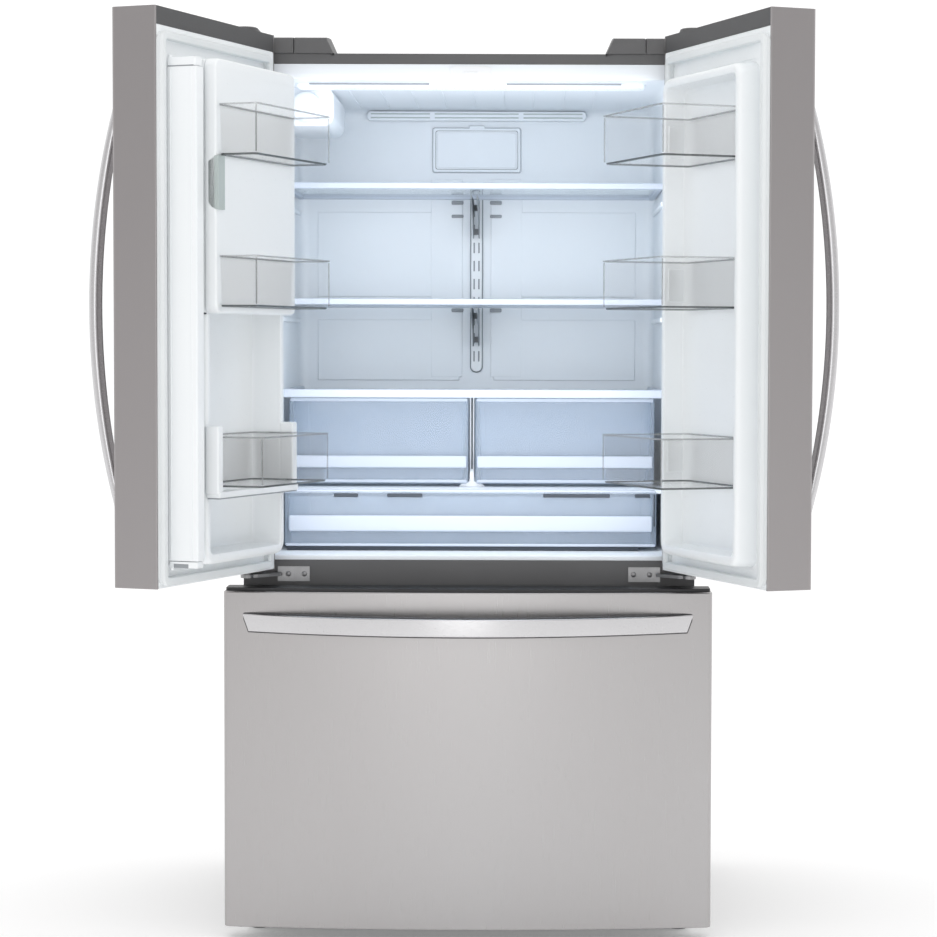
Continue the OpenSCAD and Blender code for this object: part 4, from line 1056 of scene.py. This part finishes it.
def clear_drawers():
    """Crispers side by side, their cover, and the wide pantry drawer under them."""
    for tag in ("left", "right"):
        body = f"crisper_{tag}"
        lo, hi = box_of(body)
        co = points_of(body)
        y0 = co[:, 1].min() + 8
        drawer_tub(f"crisper_tub_{tag}", body, lo, hi, y0,
                   ((12, lo.z + 1, 10), (8, lo.z + 3, 14), (3, hi.z - 24, 14), (2.8, hi.z - 7, 14),
                    (0, hi.z - 6.5, 14), (0, hi.z - 6.1, 14), (5.6, hi.z - 6.1, 11), (6, hi.z - 24, 11),
                    (11, lo.z + 6, 11)), body)
        clear_front(f"crisper_front_{tag}", body, lo, hi, y0, (14, 12))
        x0, x1 = lo.x, hi.x
        bar = Shape()
        zb = lo.z + 31
        bar.box((x0 + 3, y0 - 5, zb), (x1 - 3, y0 + 4, zb + 24), 3, 3)
        bar.box((x0 + 3, y0 - 1.5, lo.z + 2), (x1 - 3, y0 + 3, lo.z + 8), 1.5, 2)
        bar.box((x0 + 2, y0 - 2, hi.z - 7), (x1 - 2, y0 + 4, hi.z - 1), 1.5, 2)
        piece(f"crisper_band_{tag}", bar, body, band_white)
    lo, hi = cover_lo, cover_hi
    z1 = hi.z
    shape = Shape()
    x = hi.x
    shape.prism([(lo.y + y, z1 + up) for y, up in ROOF_NOSE], -x, x, axis=0)
    shape.pair((x - 12, lo.y + 14, z1 - 14), (x, hi.y - 2, z1 - 1), 1.6, 2)
    fixed("crisper_roof_frame", shape, band_white, ["crisper_cover"])
    shape = Shape().box((-x + 8, lo.y + 8, z1 - 11), (x - 8, hi.y - 4, z1 - 5), 0.6, 1)
    fixed("crisper_roof_pane", shape, glass)
    # divider between the crispers, and the deck between them and the pantry drawer
    pan_lo, pan_hi = box_of("pantry_drawer")
    deck = box_of("crisper_left")[0].z - 6
    shape = Shape()
    shape.box((-4.4, up_lo.y + 22, deck), (4.4, hi.y - 6, z1 - 12), 2, 2)
    shape.prism([(-26, deck), (-20, deck + 6), (-5, deck + 10), (-4, deck + 30), (4, deck + 30), (5, deck + 10),
                 (20, deck + 6), (26, deck)], up_lo.y + 14, up_lo.y + 40, axis=1, r=1)
    fixed("crisper_divider", shape, white)
    shape = Shape()
    shape.box((-1.6, up_lo.y + 20.2, deck + 34), (1.6, up_lo.y + 22.6, z1 - 18), 0.5, 1)
    fixed("divider_edge", shape, slot_and_shade_dark)
    shape = Shape()
    dy = pan_lo.y + 17
    shape.prism([(dy, deck - 7), (dy + 1.5, deck - 8), (hi.y - 2, deck - 8), (hi.y - 2, deck), (dy + 3, deck),
                 (dy, deck - 2)], -x, x, axis=0)
    fixed("pantry_roof", shape, inside)
    # pantry drawer
    lo, hi = pan_lo, pan_hi
    y0 = lo.y + 7
    top = deck - 10
    drawer_tub("pantry_tub", "pantry", lo, hi, y0,
               ((10, lo.z + 1, 10), (7, lo.z + 3, 14), (3, top - 14, 14), (2.8, top - 5, 14), (0, top - 4.5, 14),
                (0, top - 4.1, 14), (5.6, top - 4.1, 11), (6, top - 14, 11), (10, lo.z + 5, 11)), "pantry_drawer")
    clear_front("pantry_front", "pantry", lo, hi, y0, (9, 8))
    bar = Shape()
    bar.box((lo.x + 8, y0 - 6, lo.z + 29), (hi.x - 8, y0 + 4, lo.z + 60), 4, 3)
    bar.box((lo.x + 2, y0 - 1.5, lo.z + 0.6), (hi.x - 2, y0 + 4, lo.z + 6), 1.5, 2)
    bar.box((lo.x + 2, y0 - 2, hi.z - 5), (hi.x - 2, y0 + 4, hi.z - 0.6), 1.5, 2)
    piece("pantry_band", bar, "pantry", band_white)
    bar = Shape()
    for a, b in ((-262, -216), (-160, -92), (140, 268), (316, 345)):
        bar.box((a, y0 - 0.8, hi.z - 15), (b, y0 + 2.5, hi.z - 8), 0.8, 1)
    bar.box((hi.x - 5, y0 - 1.2, lo.z + 40), (hi.x - 2.4, y0 + 3, hi.z - 8), 0.8, 1)
    piece("pantry_slots", bar, "pantry", slot_and_shade_dark)
    # near-black slab in the gap under the pantry drawer: painted shade
    gap_shade_slab = Shape().box((lo.x + 4, y0 + 3, FLOOR + 0.4), (hi.x - 34, y0 + 10, lo.z - 0.3), 1, 2)
    fixed("pantry_gap_shade", gap_shade_slab, slot_and_shade_dark)


clear_drawers()


def hinge_parts():
    shape = Shape()
    screws = Shape()
    _, chi = solids_of("hinge_covers")[-1]
    for s in (-1, 1):
        x1, z0, z1 = shell_hi.x, shell_hi.z, chi.z
        x0 = x1 - 171
        y0 = -2.4
        seam = x1 - 96
        # deep part on the case, in two lengths with a seam
        for a, b, low in ((x0, seam - 0.6, True), (seam + 0.6, x1, False)):
            rows = []
            for x, h in ((a, z1 - 30 if low else z1), (a + (14 if low else 2), z1), (b - 2, z1), (b, z1 - 1.5)):
                e = 1.2 if x in (a, b) else 0
                ring = [(y0 + e, z0 + 0.4), (y0 + e, h - 14), (y0 + 1.2 + e, h - 11.6), (y0 + 4 + e, h - 10.4),
                        (62, h - 4 - e), (114 - e, h - e), (117 - e, h - 1.5), (118 - e, h - 5),
                        (118 - e, z0 + 0.4)]
                rows.append([(s * x, y, z) for y, z in ring])
            shape.stack(rows)
        # shallow rounded part over the hinge pin
        px, py = PIVOT.x, PIVOT.y - 4
        def arc(r, z):
            pts = [(s * (px + r * math.cos(math.radians(t))), py + r * math.sin(math.radians(t)), z)
                   for t in range(180, 361, 12)]
            pts += [(s * min(px + r, x1), y0 + 0.5, z), (s * (px - r), y0 + 0.5, z)]
            return pts
        zc = Z1 + 1.8
        shape.stack([arc(22, zc), arc(23.4, zc), arc(23.8, z1 - 5), arc(22.8, z1 - 1.6), arc(20, z1 - 0.2)])
    fixed("hinge_caps", shape, cover_grey, ["hinge_covers"])
    dress(zinc, "door_hinges")
    # pan-head screws with a cross recess
    slo = solids_of("hinge_screws")
    for lo, hi in slo:
        if hi.z - lo.z > 8:      # heads that face forward
            c = ((lo.x + hi.x) / 2, 0, (lo.z + hi.z) / 2)
            r = (hi.x - lo.x) / 2
            screws.lathe([(r * 0.98, hi.y), (r, hi.y - 0.6), (r * 0.86, lo.y + 0.7), (r * 0.5, lo.y + 0.1),
                          (r * 0.3, lo.y), (r * 0.22, lo.y + 1.0)], c, axis=1, sides=20)
        else:
            c = ((lo.x + hi.x) / 2, (lo.y + hi.y) / 2, 0)
            r = (hi.x - lo.x) / 2
            screws.lathe([(r, lo.z), (r, lo.z + 0.8), (r * 0.8, hi.z - 0.4), (r * 0.4, hi.z)], c, sides=20)
    fixed("screw_heads", screws, zinc, ["hinge_screws"])


hinge_parts()


def rear_corners():
    """Painted strips beside the machine cover, and ribs pressed into the back sheet."""
    lo, hi = box_of("machine_cover")
    back_lo, back_hi = box_of("back_panel")
    shape = Shape()
    shape.pair((hi.x + 0.5, shell_hi.y - 2.6, lo.z), (shell_hi.x - 1.2, shell_hi.y - 0.6, back_lo.z - 0.5), 0.5, 1)
    fixed("rear_corner_strips", shape, case_paint)
    shape = Shape().box(back_lo, (back_hi.x, back_hi.y - 1.1, back_hi.z))
    for k in range(5):
        x = back_lo.x + (back_hi.x - back_lo.x) * (k + 1) / 6
        shape.prism([(x - 13, back_hi.y - 1.2), (x - 9, back_hi.y), (x + 9, back_hi.y), (x + 13, back_hi.y - 1.2)],
                    back_lo.z + 60, back_hi.z - 60)
    fixed("back_sheet", shape, zinc_sheet, ["back_panel"])


rear_corners()
dress(case_paint, "case_shell")
dress(frame_paint, "front_frame")
dress(foam, "side_insulation", "deck_insulation", "rear_insulation")
dress(inside, "freezer_liner")
dress(black, "base_frame", "leveling_legs", "machine_cover", "condenser_fan")
dress(gloss_black, "compressor")
dress(coil, "condenser")
dress(fins, "evaporator")
dress(tyre, "rear_rollers")

# ---- floor, light and camera ----------------------------------------------------------------

scene = bpy.context.scene
scene.view_settings.view_transform = "Standard"

floor = bpy.data.meshes.new("floor")
bm = bmesh.new()
bmesh.ops.create_grid(bm, x_segments=1, y_segments=1, size=30)
bm.to_mesh(floor)
bm.free()
floor_obj = bpy.data.objects.new("floor", floor)
scene.collection.objects.link(floor_obj)
floor.materials.append(surface("pale_floor", (0.93, 0.93, 0.93), 0.8, broad=0.5, tone=0.01, bump=0.0,
                               emission_color=(1, 1, 1, 1), emission_strength=0.2))

world = bpy.data.worlds.new("studio")
scene.world = world
world.use_nodes = True
wt = world.node_tree
background = wt.nodes["Background"]
direction = wt.nodes.new("ShaderNodeTexCoord")
split = wt.nodes.new("ShaderNodeSeparateXYZ")
wt.links.new(direction.outputs["Generated"], split.inputs["Vector"])


def step(operation, first, second=None):
    """A maths node on a socket, and on a second socket or a number."""
    node = wt.nodes.new("ShaderNodeMath")
    node.operation = operation
    wt.links.new(first, node.inputs[0])
    if isinstance(second, (int, float)):
        node.inputs[1].default_value = second
    elif second is not None:
        wt.links.new(second, node.inputs[1])
    return node.outputs[0]


# how far a direction is turned away from the front, 0 to 1, sets how bright the room is there
turned = step("ABSOLUTE", step("ARCTAN2", split.outputs["X"], step("MULTIPLY", split.outputs["Y"], -1)))
share = step("DIVIDE", turned, math.pi)
ramp = wt.nodes.new("ShaderNodeValToRGB")
ramp.color_ramp.interpolation = "EASE"
stops = [(0.0, (0.96, 0.96, 0.965)), (0.05, (0.92, 0.92, 0.92)), (0.12, (0.74, 0.73, 0.73)),
         (0.20, (0.66, 0.645, 0.645)),
         (0.38, (0.78, 0.77, 0.77)), (0.55, (1.08, 1.08, 1.08)), (1.0, (1.1, 1.1, 1.1))]
while len(ramp.color_ramp.elements) < len(stops):
    ramp.color_ramp.elements.new(0.5)
for element, (at, colour) in zip(ramp.color_ramp.elements, stops):
    element.position = at
    element.color = (*colour, 1)
wt.links.new(share, ramp.inputs["Fac"])
wt.links.new(ramp.outputs["Color"], background.inputs["Color"])
background.inputs["Strength"].default_value = 1.0


def area(name, at, aim, size, size_y, power, colour=(1, 1, 1)):
    light = bpy.data.lights.new(name, "AREA")
    light.shape = "RECTANGLE"
    light.size, light.size_y, light.energy, light.color = size, size_y, power, colour
    obj = bpy.data.objects.new(name, light)
    obj.location = at
    obj.rotation_euler = (Vector(aim) - Vector(at)).to_track_quat("-Z", "Y").to_euler()
    obj.visible_camera = False
    scene.collection.objects.link(obj)


area("key", (-0.25, -6.2, 1.5), (0, 0, 0.8), 1.6, 3.0, 15)
area("top_fill", (0, -1.6, 4.2), (0, -0.5, 0), 4.0, 3.0, 26)
area("inside_fill", (0, -0.02, 1.17), (0, 1, 1.17), 0.70, 0.86, 2.8, (0.92, 0.945, 0.99))
area("inside_top", (0, 0.09, 1.585), (0, 0.34, 0.9), 0.36, 0.05, 0.18, (0.66, 0.82, 1.0))

camera = bpy.data.cameras.new("camera")
camera.sensor_width = 36
camera.lens = 97.0
camera.shift_x = -0.0677
camera.shift_y = 0.0003
camera_obj = bpy.data.objects.new("camera", camera)
camera_obj.location = (0.118, -4.743, 1.099)
PITCH_DOWN, ROLL = 2.655, 0.17       # degrees
look = Matrix.Rotation(math.radians(90 - PITCH_DOWN), 4, "X") @ Matrix.Rotation(math.radians(ROLL), 4, "Z")
camera_obj.rotation_euler = look.to_euler()
scene.collection.objects.link(camera_obj)
scene.camera = camera_obj
